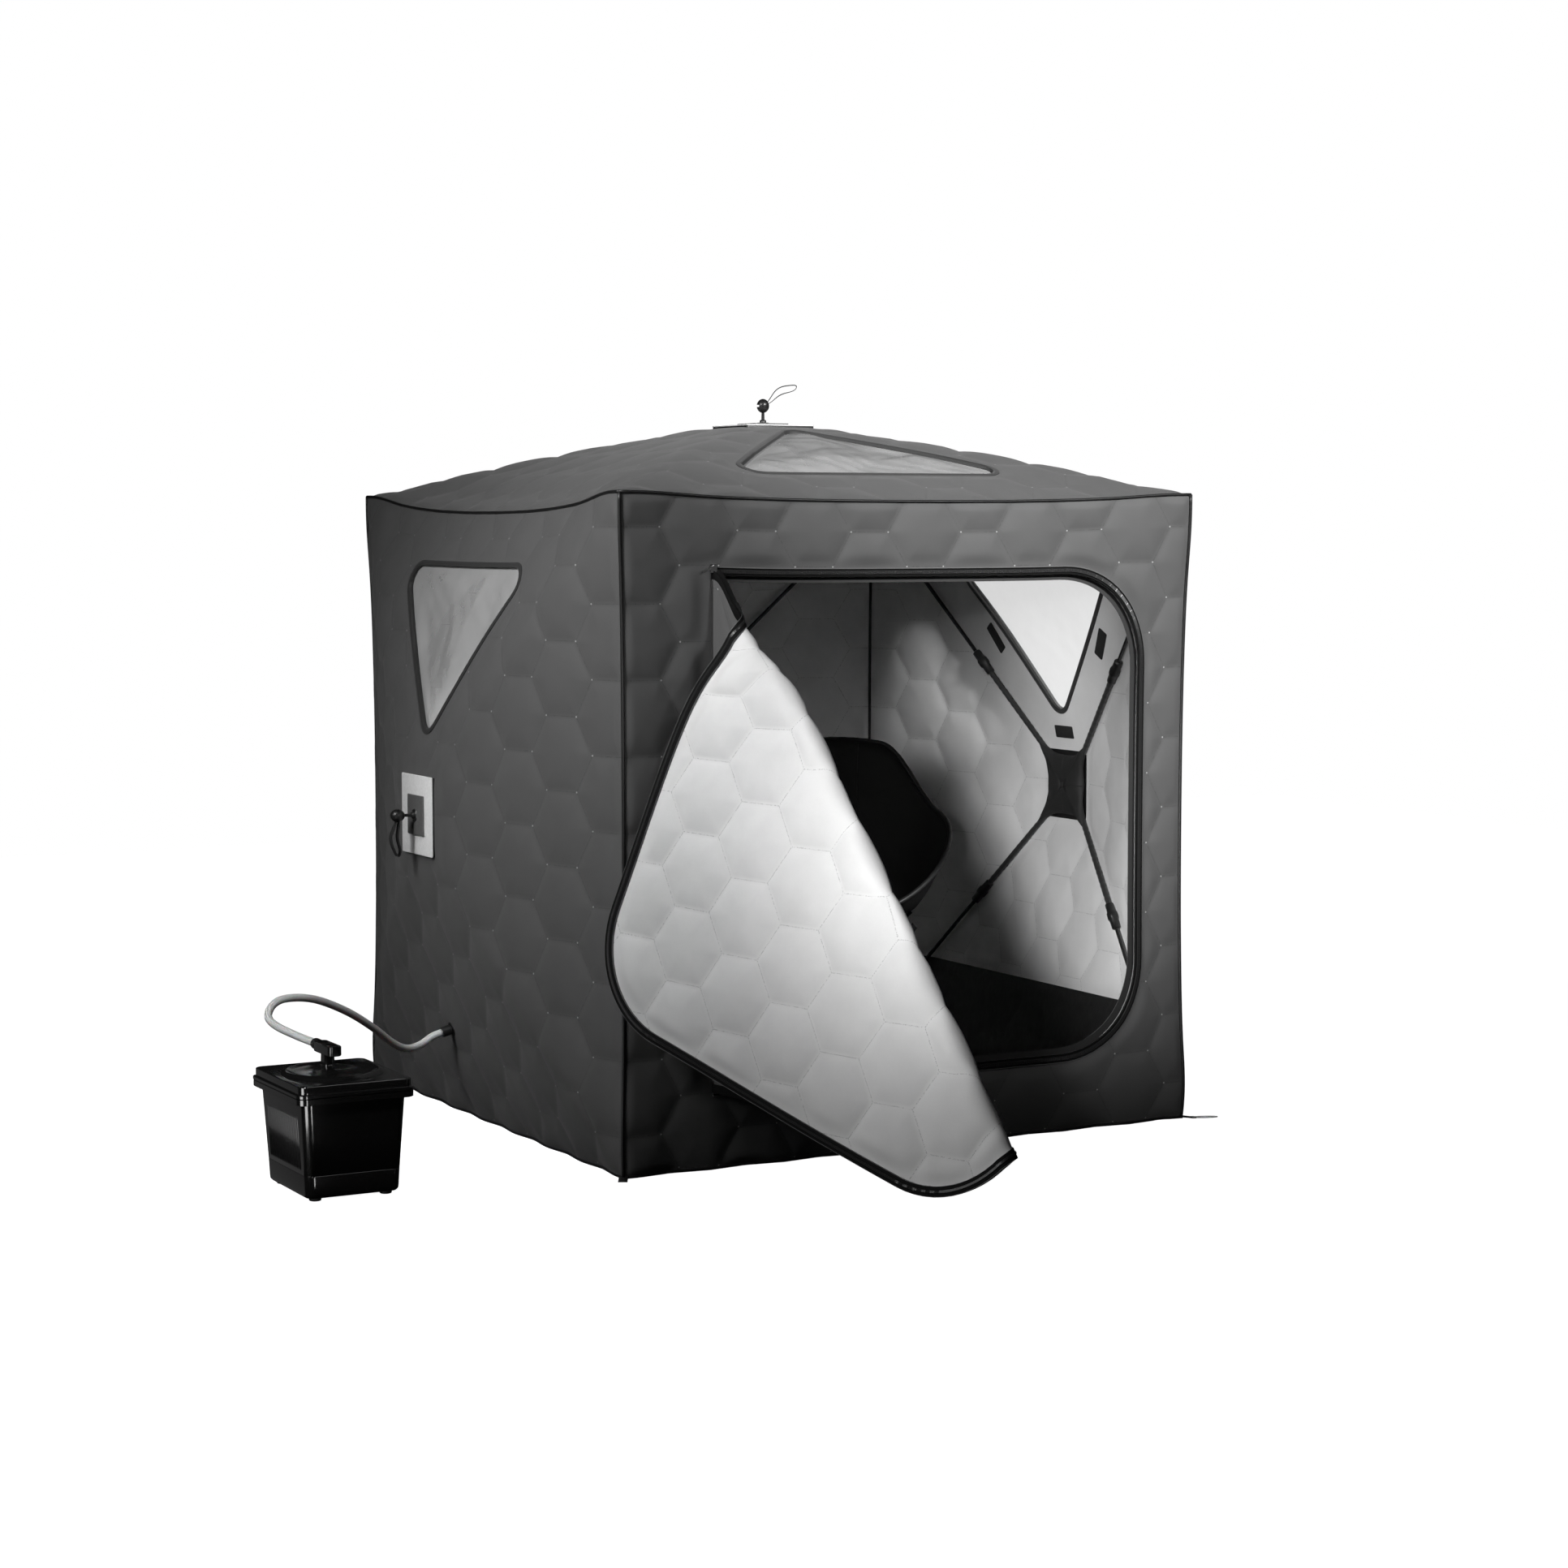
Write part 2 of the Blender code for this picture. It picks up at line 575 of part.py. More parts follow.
# ---- steam port and hose --------------------------------------------------------------------
def port_and_hose(left_wall, mats):
    """Flanged sleeve through the left wall, the hose from the steamer, and a cuff at each end."""
    place = on_wall("left")
    v = PORT_Z - HALF
    slope = Vector((-1, 0, -SLOPE)).normalized()
    face = place(-PORT_Y, v, facet(v))
    hole = cylinder("port_hole", face - slope * 0.05, face + slope * 0.05, PORT_RADIUS + GAP,
                    mats["plastic"], 20)
    modify(left_wall, hole, "DIFFERENCE")
    profile = [(-SKIN - 0.012, PORT_RADIUS), (GAP, PORT_RADIUS), (GAP, PORT_FLANGE), (0.004, PORT_FLANGE),
               (0.007, PORT_RADIUS), (0.016, PORT_RADIUS - 0.003)]
    port = turned("steam_port", face, slope, profile, 20, mats["plastic"])
    bore = cylinder("port_bore", face - slope * 0.06, face + slope * 0.06, PORT_BORE, mats["plastic"], 16)
    modify(port, bore, "DIFFERENCE")

    path = smooth_path(HOSE_ROUTE, HOSE_SPACING)
    tube("steam_hose", path, HOSE_RADIUS, mats["hose"], sides=3)
    for name, end, onward in (("port", path[-1], -slope), ("outlet", path[0], Vector((0, -1, 0)))):
        cylinder(f"hose_cuff_{name}", end + onward * CUFF_GAP, end + onward * (CUFF_GAP + CUFF_LENGTH),
                 CUFF_RADIUS, mats["rubber"], 16)


# ---- steamer --------------------------------------------------------------------------------
def rounded_rectangle(width, depth, z, inset=0.0, radius=CORNER):
    a, b = width / 2 - inset, depth / 2 - inset
    outline = rounded([(-a, -b), (a, -b), (a, b), (-a, b)], max(radius - inset, 0.004), 4)
    return [(STEAMER_X + x, STEAMER_Y + y, z) for x, y in outline]


def tray(name, loft, floor, mat):
    """An open-topped shell through a loft of (width, depth, z)."""
    outside = [rounded_rectangle(*level) for level in loft]
    inside = [rounded_rectangle(w, d, z, SHELL) for w, d, z in reversed(loft)]
    inside[-1] = rounded_rectangle(loft[0][0], loft[0][1], loft[0][2] + floor, SHELL)
    return rings(name, outside + inside, mat, smooth=35)


def steamer(mats):
    """Kettle-like steamer: base with its feet and controls, water tank, heater, lid and outlet."""
    base = tray("steamer_base", BASE_LOFT, SHELL, mats["gloss"])
    for sx in (-1, 1):
        for sy in (-1, 1):
            x, y = STEAMER_X + sx * FOOT_AT[0], STEAMER_Y + sy * FOOT_AT[1]
            foot = cylinder(f"foot_{sx}_{sy}", (x, y, 0), (x, y, FOOT_HEIGHT + 0.001), FOOT_RADIUS,
                            mats["rubber"], 12)
            modify(base, foot, "UNION")

    width, depth, z = TANK_LOFT[-1]
    rim_width, rim_depth, rim_thick = TANK_RIM
    rim = [rounded_rectangle(rim_width, rim_depth, z), rounded_rectangle(rim_width, rim_depth, z + rim_thick)]
    loft = [*TANK_LOFT[:-1], (width, depth, z)]
    outside = [rounded_rectangle(*level) for level in loft] + rim
    inside = [rounded_rectangle(width, depth, z + rim_thick, SHELL),
              rounded_rectangle(*TANK_LOFT[0][:2], TANK_LOFT[0][2] + SHELL, SHELL)]
    rings("steamer_tank", outside + inside, mats["gloss"], smooth=35)

    top = z + rim_thick
    outer = [rounded_rectangle(w, d, top + rise) for w, d, rise in reversed(LID_LOFT)]
    under = [rounded_rectangle(*LID_LOFT[0][:2], top + LID_LOFT[0][2], SHELL)]
    under += [rounded_rectangle(w, d, top + rise - SHELL, SHELL) for w, d, rise in LID_LOFT[1:]]
    rings("steamer_lid", outer + under, mats["gloss"], smooth=35)

    low, high = OUTLET
    outlet = box("steam_outlet", low, high, mats["plastic"])
    soften = outlet.modifiers.new("soften", "BEVEL")
    soften.width = 0.006
    soften.segments = 2
    middle = (Vector(low) + Vector(high)) / 2
    post = cylinder("outlet_post", (middle.x, middle.y, top + LID_LOFT[-1][2] + GAP),
                    (middle.x, middle.y, low[2] + 0.004), POST_RADIUS, mats["plastic"], 16)
    modify(outlet, post, "UNION")

    heater(mats)
    controls(base, mats)


def heater(mats):
    """Open ring of heating tube whose two ends stand on the tank's floor."""
    floor = TANK_LOFT[0][2] + SHELL + GAP
    ring = []
    for i in range(19):
        angle = math.radians(-160 + 320 * i / 18)
        ring.append((STEAMER_X + HEATER_RADIUS * math.cos(angle),
                     STEAMER_Y + HEATER_RADIUS * math.sin(angle), HEATER_Z))
    inner = [(p[0] - 0.004, p[1], HEATER_Z - 0.004) for p in (ring[0], ring[-1])]
    ends = [(p[0], p[1], floor) for p in inner]
    tube("heating_element", [ends[0], inner[0], *ring, inner[1], ends[1]], HEATER_TUBE, mats["metal"])


def controls(base, mats):
    """Mains inlet and power button, side by side in the back of the base."""
    back = STEAMER_Y + BASE_LOFT[0][1] / 2
    width, depth, height = INLET
    x = STEAMER_X - 0.030
    low = (x - width / 2, back - depth, CONTROL_Z - height / 2)
    high = (x + width / 2, back + INLET_PROUD, CONTROL_Z + height / 2)
    grow = Vector((GAP, 0.02, GAP))
    slot = box("inlet_slot", Vector(low) - grow, Vector(high) + grow, mats["plastic"])
    modify(base, slot, "DIFFERENCE")
    inlet = box("power_inlet", low, high, mats["plastic"])
    rim = 0.004
    socket = box("inlet_socket", (low[0] + rim, high[1] - 0.010, low[2] + rim),
                 (high[0] - rim, high[1] + 0.01, high[2] - rim), mats["plastic"])
    modify(inlet, socket, "DIFFERENCE")

    x = STEAMER_X + 0.045
    low = (x - BUTTON / 2, back - BUTTON_DEPTH + 0.004, CONTROL_Z - BUTTON / 2)
    high = (x + BUTTON / 2, back + 0.004, CONTROL_Z + BUTTON / 2)
    hole = box("button_hole", Vector(low) - grow, Vector(high) + grow, mats["plastic"])
    modify(base, hole, "DIFFERENCE")
    box("power_button", low, high, mats["metal"])


# ---- chair ----------------------------------------------------------------------------------
def smoothstep(low, high, value):
    t = min(max((value - low) / (high - low), 0.0), 1.0)
    return t * t * (3 - 2 * t)


def rim_height(angle):
    """Height of the tub's rim: angle 0 is the side, 90 the back, -90 the front edge of the seat."""
    arm = smoothstep(-75, 8, angle)
    back = smoothstep(12, 72, angle)
    return PAN_TOP + 0.004 + (BACK_TOP - PAN_TOP - 0.004) * (0.49 * arm + 0.51 * back)


def tub_point(degrees, t, out=0.0):
    """A point of the tub: t 0 at the edge of the seat pan, 1 at the rim; out moves it outward."""
    side = degrees if degrees <= 90 else 180 - degrees
    a = math.radians(degrees)
    grow = t ** 0.8
    rx = PAN_R + (RIM_RX - PAN_R) * grow + out
    ry = PAN_R + (RIM_RY - PAN_R) * grow + out
    z = PAN_TOP + (rim_height(side) - PAN_TOP) * t ** 1.25
    return Vector((rx * math.cos(a), ry * math.sin(a), z))


def chair(mats):
    """Tub chair on two crossed leg frames that scissor about one rod."""
    base = bpy.data.objects.new("chair_base", None)
    bpy.context.collection.objects.link(base)
    base.location = (*CHAIR_AT, 0)
    base.rotation_euler = (0, 0, math.radians(CHAIR_YAW))
    made = []

    angles = [-90 + 360 * i / 28 for i in range(28)]
    dish = [[Vector((PAN_R * f * math.cos(math.radians(a)), PAN_R * f * math.sin(math.radians(a)),
                     PAN_TOP - 0.010 * (1 - f))) for a in angles] for f in (0.35, 0.75)]
    wall = [[tub_point(a, t) for a in angles] for t in (0.0, 0.25, 0.5, 0.75, 1.0)]
    inside = dish + wall
    outside = [[tub_point(a, t, CHAIR_SHELL) - Vector((0, 0, 0 if t else CHAIR_SHELL)) for a in angles]
               for t in (1.0, 0.75, 0.5, 0.25, 0.0)]
    under = [[p - Vector((0, 0, CHAIR_SHELL)) for p in ring] for ring in reversed(dish)]
    made.append(rings("chair_seat", inside + outside + under, mats["chair"], smooth=50))

    rim = [tub_point(-90 + 360 * i / 40, 1.0, CHAIR_SHELL + RIM_CLEAR + RIM_TUBE) for i in range(40)]
    made.append(tube("chair_rim", rim, RIM_TUBE, mats["chair"], cyclic=True, sides=1))

    foot, top = Vector((-LEG_REACH, 0, LEG_FOOT_Z)), Vector((LEG_REACH, 0, LEG_TOP_Z))
    frames = {}
    for name, flip, depth in (("outer", 1, LEG_DEPTH_OUTER), ("inner", -1, LEG_DEPTH_INNER)):
        knee = foot + (top - foot).normalized() * 0.035
        path = [top, knee, foot + Vector((0.012, 0, 0))]
        front = [Vector((p.x * flip, -depth, p.z)) for p in path]
        front[2].y += 0.012
        corner = [Vector((foot.x * flip, -depth + 0.035, foot.z))]
        near = front + corner
        far = [Vector((p.x, -p.y, p.z)) for p in reversed(near)]
        frames[name] = as_mesh(tube(f"chair_leg_{name}", near + far, LEG_TUBE, mats["leg"]))
        made.append(frames[name])
    pivot_z = (LEG_FOOT_Z + LEG_TOP_Z) / 2
    reach = LEG_DEPTH_OUTER + LEG_TUBE + 0.006
    made.append(cylinder("chair_pivot_rod", (0, -reach, pivot_z), (0, reach, pivot_z), PIVOT_ROD,
                         mats["metal"], 10))
    bore = cylinder("chair_pivot_bore", (0, -reach, pivot_z), (0, reach, pivot_z), PIVOT_ROD + 2 * GAP,
                    mats["metal"], 10)
    made.append(bore)
    for frame in frames.values():
        modify(frame, bore, "DIFFERENCE")
    for obj in made:
        obj.parent = base


def build():
    for obj in list(bpy.data.objects):
        bpy.data.objects.remove(obj)
    mats = {
        "quilt": material("quilt", (0.075, 0.078, 0.082), 0.75),
        "floor": material("floor", (0.012, 0.012, 0.013), 0.55),
        "film": material("film", (0.55, 0.58, 0.60), 0.10, alpha=0.35),
        "zip": material("zip", (0.015, 0.015, 0.016), 0.50),
        "metal": material("metal", (0.55, 0.55, 0.56), 0.30, metallic=1.0),
        "plate": material("plate", (0.62, 0.62, 0.62), 0.70),
        "plastic": material("plastic", (0.020, 0.020, 0.021), 0.40),
        "pole": material("pole", (0.020, 0.020, 0.021), 0.35),
        "strap": material("strap", (0.022, 0.022, 0.023), 0.80),
        "rubber": material("rubber", (0.018, 0.018, 0.018), 0.65),
        "hose": material("hose", (0.72, 0.72, 0.71), 0.45),
        "gloss": material("gloss", (0.010, 0.010, 0.011), 0.12),
        "chair": material("chair", (0.018, 0.018, 0.020), 0.75),
        "leg": material("leg", (0.030, 0.030, 0.032), 0.35),
    }
    walls = cabin(mats)
    door(mats)
    zipper(mats)
    for wall in HUBBED:
        hub(wall, mats)
    poles(mats)
    port_and_hose(walls["left"], mats)
    steamer(mats)
    chair(mats)


build()
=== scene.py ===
"""The looks of a pop-up steam sauna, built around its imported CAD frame.

Quilted walls, folded door, steamer, hose and chair.

Lengths are metres, +Z is up, and the cabin's front faces -Y.
"""
import math

import bmesh
import bpy
import numpy as np
from mathutils import Matrix, Vector


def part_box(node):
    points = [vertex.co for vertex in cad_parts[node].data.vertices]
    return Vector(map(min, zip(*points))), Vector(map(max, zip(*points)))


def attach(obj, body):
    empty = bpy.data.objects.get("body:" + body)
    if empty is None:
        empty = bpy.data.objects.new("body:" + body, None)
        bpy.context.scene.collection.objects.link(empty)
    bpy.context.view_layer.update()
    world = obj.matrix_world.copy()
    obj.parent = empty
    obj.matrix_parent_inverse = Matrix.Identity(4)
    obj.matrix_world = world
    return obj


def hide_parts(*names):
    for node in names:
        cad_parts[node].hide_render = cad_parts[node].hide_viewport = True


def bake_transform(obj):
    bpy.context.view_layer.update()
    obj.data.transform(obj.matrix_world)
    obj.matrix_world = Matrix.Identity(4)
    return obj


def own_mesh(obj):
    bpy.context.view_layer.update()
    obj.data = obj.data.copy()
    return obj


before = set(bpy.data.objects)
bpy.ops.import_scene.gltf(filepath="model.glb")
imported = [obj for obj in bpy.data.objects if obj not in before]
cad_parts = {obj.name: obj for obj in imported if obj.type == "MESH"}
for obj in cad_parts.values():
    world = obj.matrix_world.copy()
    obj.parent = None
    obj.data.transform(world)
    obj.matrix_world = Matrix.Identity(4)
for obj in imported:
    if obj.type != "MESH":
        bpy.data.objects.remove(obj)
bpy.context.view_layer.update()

# ---- driving sizes, the same as the frame's ---------------------------------------------------
HALF = 0.80                      # half an edge of the cube that the cabin fills
SKIN = 0.012                     # quilted wall, lining included
RISE = 0.178                     # bulge of a hubbed wall at its hub plate
HOLE = 0.098                     # half the square under the hub plate that the fabric leaves open
SLOPE = RISE / (HALF - 0.105)
WALLS = {                        # outward direction n, then the wall's own u and v
    "left": ((-1, 0, 0), (0, -1, 0), (0, 0, 1)),
    "right": ((1, 0, 0), (0, 1, 0), (0, 0, 1)),
    "back": ((0, 1, 0), (-1, 0, 0), (0, 0, 1)),
    "roof": ((0, 0, 1), (1, 0, 0), (0, 1, 0)),
    "front": ((0, -1, 0), (1, 0, 0), (0, 0, 1)),
}
HUBBED = ("left", "right", "back", "roof")
WINDOWS = {                      # half width, far edge, point, corner radius, and the side of the middle
    "left": (0.40, 0.64, 0.19, 0.045, 1),
    "right": (0.40, 0.64, 0.19, 0.045, 1),
    "roof": (0.41, 0.61, 0.135, 0.045, -1),
}
FILM_DEPTH = 0.006
DOOR_LEFT, DOOR_RIGHT = -0.563, 0.650
DOOR_BOTTOM, DOOR_TOP = 0.200, 1.405
DOOR_RADIUS = 0.230
DOOR_CLEAR = 0.004
DOOR_OPEN, DOOR_FOLD = math.radians(79.6), math.radians(157.6)
FOLD_TOP, FOLD_FOOT = (0.133, 1.205), (1.055, 0.0)
FOLD_STAND = 0.008
TAPE_NEAR, TAPE_SHOWN = 0.002, 0.0235
SKIRT = 0.23                     # height of the black foot of the walls inside

# ---- quilting ---------------------------------------------------------------------------------
HEX = 0.1778                     # across the flats
LATTICE = HEX / (10 * math.sqrt(3))
HEX_AT = (0.75, 0.098)           # centre of one hexagon on a wall
PUFF_OUTER, PUFF_LINING, PUFF_DOOR = 0.0075, 0.006, 0.017


def smooth(low, high, value):
    t = np.clip((value - low) / (high - low), 0.0, 1.0)
    return t * t * (3 - 2 * t)


# ---- camera and stage -------------------------------------------------------------------------
def camera():
    azimuth, elevation = math.radians(-28.477), math.radians(4.699)
    back = Vector((math.sin(azimuth) * math.cos(elevation), -math.cos(azimuth) * math.cos(elevation),
                   math.sin(elevation)))
    cam = bpy.data.objects.new("camera", bpy.data.cameras.new("camera"))
    bpy.context.collection.objects.link(cam)
    cam.location = (-3.926, -7.354, 1.524)
    cam.rotation_mode = "QUATERNION"
    cam.rotation_quaternion = (-back).to_track_quat("-Z", "Y")
    cam.data.lens = 72.31
    cam.data.sensor_width = 36.0
    cam.data.clip_end = 60.0
    bpy.context.scene.camera = cam


def add_light(name, kind, place, aim, spread, power):
    """An area light, spread (width, height), or a soft-edged spot, spread (cone in degrees, lamp radius)."""
    data = bpy.data.lights.new(name, kind)
    if kind == "AREA":
        data.shape = "RECTANGLE"
        data.size, data.size_y = spread
    else:
        data.spot_size = math.radians(spread[0])
        data.spot_blend = 1.0
        data.shadow_soft_size = spread[1]
    data.energy = power
    light = bpy.data.objects.new(name, data)
    bpy.context.collection.objects.link(light)
    light.location = place
    light.rotation_mode = "QUATERNION"
    light.rotation_quaternion = (Vector(aim) - Vector(place)).to_track_quat("-Z", "Y")
    return light


def studio():
    """White floor and backdrop, soft-edged spots, and four cards that only gloss mirrors."""
    scene = bpy.context.scene
    scene.view_settings.view_transform = "Standard"
    world = bpy.data.worlds.new("studio")
    scene.world = world
    world.use_nodes = True
    nodes, links = world.node_tree.nodes, world.node_tree.links
    background = nodes["Background"]
    background.inputs["Color"].default_value = (1, 1, 1, 1)
    rays = nodes.new("ShaderNodeLightPath")
    strength = nodes.new("ShaderNodeMapRange")
    strength.inputs["To Min"].default_value = WORLD_LIGHT
    strength.inputs["To Max"].default_value = 1.0
    links.new(rays.outputs["Is Camera Ray"], strength.inputs["Value"])
    links.new(strength.outputs["Result"], background.inputs["Strength"])

    size = 14.0
    bpy.ops.mesh.primitive_plane_add(size=size, location=(0, 0, -0.0005))
    floor = bpy.context.object
    floor.name = "studio_floor"
    floor.visible_diffuse = False
    floor.visible_glossy = False
    mat = bpy.data.materials.new("pale_floor")
    mat.use_nodes = True
    shader = mat.node_tree.nodes["Principled BSDF"]
    shader.inputs["Base Color"].default_value = (0.9, 0.9, 0.9, 1)
    shader.inputs["Roughness"].default_value = 0.9
    shader.inputs["Emission Color"].default_value = (1, 1, 1, 1)
    shader.inputs["Emission Strength"].default_value = 1.0
    floor.data.materials.append(mat)
    for light in LIGHTS:
        add_light(*light)
    for name, place, aim, width, height, power in CARDS:
        card = add_light(name, "AREA", place, aim, (width, height), power)
        card.visible_camera = False
        card.visible_diffuse = False


WORLD_LIGHT = 0.006
LIGHTS = (                       # name, kind, place, what it looks at, spread, watts
    ("front_light", "SPOT", (1.0, -5.6, 4.3), (0.62, -0.8, 1.80), (28, 0.35), 2400),
    ("left_light", "SPOT", (-4.6, -2.2, 4.3), (-0.78, -0.56, 1.58), (26, 0.6), 1250),
    ("flap_light", "SPOT", (-5.0, -2.6, 0.9), (0.66, -1.75, 0.10), (13, 0.6), 330),
    ("door_light", "SPOT", (-3.7, -5.1, 1.6), (1.04, -0.12, 0.60), (13, 0.3), 1500),
    ("hose_light", "SPOT", (-2.2, -1.6, 2.6), (-1.26, -0.19, 0.33), (13, 0.6), 560),
    ("fill_light", "AREA", (-5.5, -1.6, 3.0), (-0.9, -0.9, 0.9), (2.2, 1.8), 75),
)
CARDS = (                        # name, place, what it faces, width, height, watts
    ("corner_card", (-1.93, -0.93, 0.11), (-1.53, -0.70, 0.14), 0.26, 0.20, 1.5),
    ("front_card", (-1.515, -1.20, 0.11), (-1.52, -0.70, 0.12), 0.07, 0.20, 0.45),
    ("back_card", (-2.20, 1.00, -0.25), (-1.45, -0.45, 0.15), 1.60, 1.20, 0.5),
    ("lid_card", (-1.10, -1.60, 1.10), (-1.40, -0.54, 0.27), 0.80, 0.30, 2.5),
)


# ---- materials --------------------------------------------------------------------------------
class Finish:
    """A Principled material under construction."""

    def __init__(self, name, colour, roughness, metallic=0.0, **sockets):
        self.mat = bpy.data.materials.new(name)
        self.mat.use_nodes = True
        self.nodes, self.links = self.mat.node_tree.nodes, self.mat.node_tree.links
        self.shader = self.nodes["Principled BSDF"]
        self.colour = (colour,) * 3 if isinstance(colour, float) else colour
        self.shader.inputs["Base Color"].default_value = (*self.colour, 1)
        self.shader.inputs["Roughness"].default_value = roughness
        self.shader.inputs["Metallic"].default_value = metallic
        for socket, value in sockets.items():
            self.shader.inputs[socket.replace("_", " ")].default_value = value
        self.tint = None
        self.normal = None

    def new(self, kind, **settings):
        node = self.nodes.new("ShaderNode" + kind)
        for key, value in settings.items():
            setattr(node, key, value)
        return node

    def noise(self, scale, detail=2.0, stretch=(1, 1, 1)):
        coords = self.new("TexCoord")
        mapping = self.new("Mapping")
        mapping.inputs["Scale"].default_value = stretch
        texture = self.new("TexNoise")
        texture.inputs["Scale"].default_value = scale
        texture.inputs["Detail"].default_value = detail
        self.links.new(coords.outputs["Object"], mapping.inputs["Vector"])
        self.links.new(mapping.outputs["Vector"], texture.inputs["Vector"])
        return texture.outputs["Fac"]

    def spread(self, value, low, high, bottom, top):
        """value, taken from low..high to bottom..top."""
        node = self.new("MapRange")
        for socket, number in (("From Min", low), ("From Max", high), ("To Min", bottom), ("To Max", top)):
            node.inputs[socket].default_value = number
        self.links.new(value, node.inputs["Value"])
        return node.outputs["Result"]

    def shade(self, factor):
        """Multiplies the base colour by factor."""
        node = self.new("Mix", data_type="RGBA", blend_type="MULTIPLY")
        node.inputs["Factor"].default_value = 1.0
        if self.tint is None:
            node.inputs[6].default_value = (*self.colour, 1)
        else:
            self.links.new(self.tint, node.inputs[6])
        self.links.new(factor, node.inputs[7])
        self.tint = node.outputs[2]
        self.links.new(self.tint, self.shader.inputs["Base Color"])
        return self

    def toward(self, factor, colour):
        """Moves the base colour to another one by factor."""
        node = self.new("Mix", data_type="RGBA")
        self.links.new(factor, node.inputs["Factor"])
        if self.tint is None:
            node.inputs[6].default_value = (*self.colour, 1)
        else:
            self.links.new(self.tint, node.inputs[6])
        node.inputs[7].default_value = (colour, colour, colour, 1)
        self.tint = node.outputs[2]
        self.links.new(self.tint, self.shader.inputs["Base Color"])
        return self

    def bump(self, height, distance, strength=1.0):
        node = self.new("Bump")
        node.inputs["Strength"].default_value = strength
        node.inputs["Distance"].default_value = distance
        self.links.new(height, node.inputs["Height"])
        if self.normal is not None:
            self.links.new(self.normal, node.inputs["Normal"])
        self.normal = node.outputs["Normal"]
        self.links.new(self.normal, self.shader.inputs["Normal"])
        return self

    def attribute(self, name):
        return self.new("Attribute", attribute_name=name).outputs["Fac"]

    def grain(self, scale, distance, variation=0.0, stretch=(1, 1, 1), detail=2.0):
        noise = self.noise(scale, detail, stretch)
        self.bump(noise, distance)
        if variation:
            self.shade(self.spread(noise, 0.3, 0.7, 1 - variation, 1 + variation))
        return self


def quilted(name, colour, roughness, seam_shade, knot, weave):
    """Woven cloth sewn in hexagons: a dark dashed seam, and a knot where three seams meet."""
    finish = Finish(name, colour, roughness, Sheen_Weight=0.15, Sheen_Roughness=0.5)
    finish.grain(1400.0, 0.0005, weave)
    finish.grain(9.0, 0.0004, 0.05, detail=4.0)
    seam = finish.attribute("seam")
    dashes = finish.spread(finish.noise(420.0, 0.0), 0.45, 0.5, seam_shade, 1.0)
    line = finish.spread(seam, 0.0007, 0.0016, 1.0, 0.0)
    mix = finish.new("Mix", data_type="FLOAT")
    finish.links.new(line, mix.inputs["Factor"])
    mix.inputs[2].default_value = 1.0
    finish.links.new(dashes, mix.inputs[3])
    finish.shade(mix.outputs[0])
    if knot:
        finish.toward(finish.spread(finish.attribute("knot"), 0.0015, 0.0028, 0.8, 0.0), knot)
    return finish.mat


def plain(name, colour, roughness, scale=300.0, distance=0.0003, variation=0.08, metallic=0.0, **sockets):
    return Finish(name, colour, roughness, metallic, **sockets).grain(scale, distance, variation).mat


def film_material():
    """Clear vinyl, with a milky white layer that is a painted reflection of the white studio."""
    finish = Finish("window_film", 0.92, 0.16, Alpha=0.34, Specular_IOR_Level=0.8)
    finish.grain(7.0, 0.004, 0.06, detail=3.0)
    return finish.mat


M = {
    "quilt": quilted("charcoal_quilt", 0.075, 0.62, 0.55, 0.45, 0.10),
    "lining": quilted("pale_lining", 0.72, 0.75, 0.62, None, 0.05),
    "ground": plain("ground_sheet", 0.012, 0.55, 40.0, 0.002, 0.2),
    "binding": plain("black_binding", 0.013, 0.6, 900.0, 0.0004, 0.25, Sheen_Weight=0.2),
    "piping": plain("piping", 0.010, 0.38, 700.0, 0.0003, 0.2),
    "tape": plain("zip_tape", 0.006, 0.7, 1500.0, 0.0004, 0.3, Specular_IOR_Level=0.08),
    "coil": plain("zip_coil", 0.018, 0.35, 500.0, 0.0002, 0.15, Specular_IOR_Level=0.35),
    "edge": plain("tape_edge", 0.10, 0.5, 900.0, 0.0003, 0.2),
    "film": film_material(),
    "plate": plain("pale_plate", 0.80, 0.55, 160.0, 0.0004, 0.06),
    "plate_centre": plain("grey_plate", 0.11, 0.5, 160.0, 0.0004, 0.08),
    "metal": plain("bright_metal", 0.55, 0.28, 400.0, 0.0002, 0.08, metallic=1.0),
    "plastic": plain("black_plastic", 0.012, 0.34, 600.0, 0.0002, 0.15),
    "rod": plain("pole_rod", 0.012, 0.22, 300.0, 0.0002, 0.15, Coat_Weight=0.4, Coat_Roughness=0.2),
    "webbing": plain("webbing", 0.014, 0.7, 1200.0, 0.0006, 0.3),
    "rubber": plain("rubber", 0.012, 0.45, 500.0, 0.0002, 0.15),
    "hose": plain("hose", 0.95, 0.42, 240.0, 0.0004, 0.05, Subsurface_Weight=0.08),
    "gloss": plain("gloss_black", 0.010, 0.17, 60.0, 0.00006, 0.1, Coat_Weight=0.4, Coat_Roughness=0.10),
    "chair": plain("chair_cloth", 0.022, 0.55, 700.0, 0.0005, 0.25, Specular_IOR_Level=0.16),
    "leather_piping": plain("chair_piping", 0.020, 0.4, 500.0, 0.0002, 0.2, Specular_IOR_Level=0.3),
    "leg": plain("leg_tube", 0.02, 0.3, 300.0, 0.0002, 0.12, metallic=0.4),
}


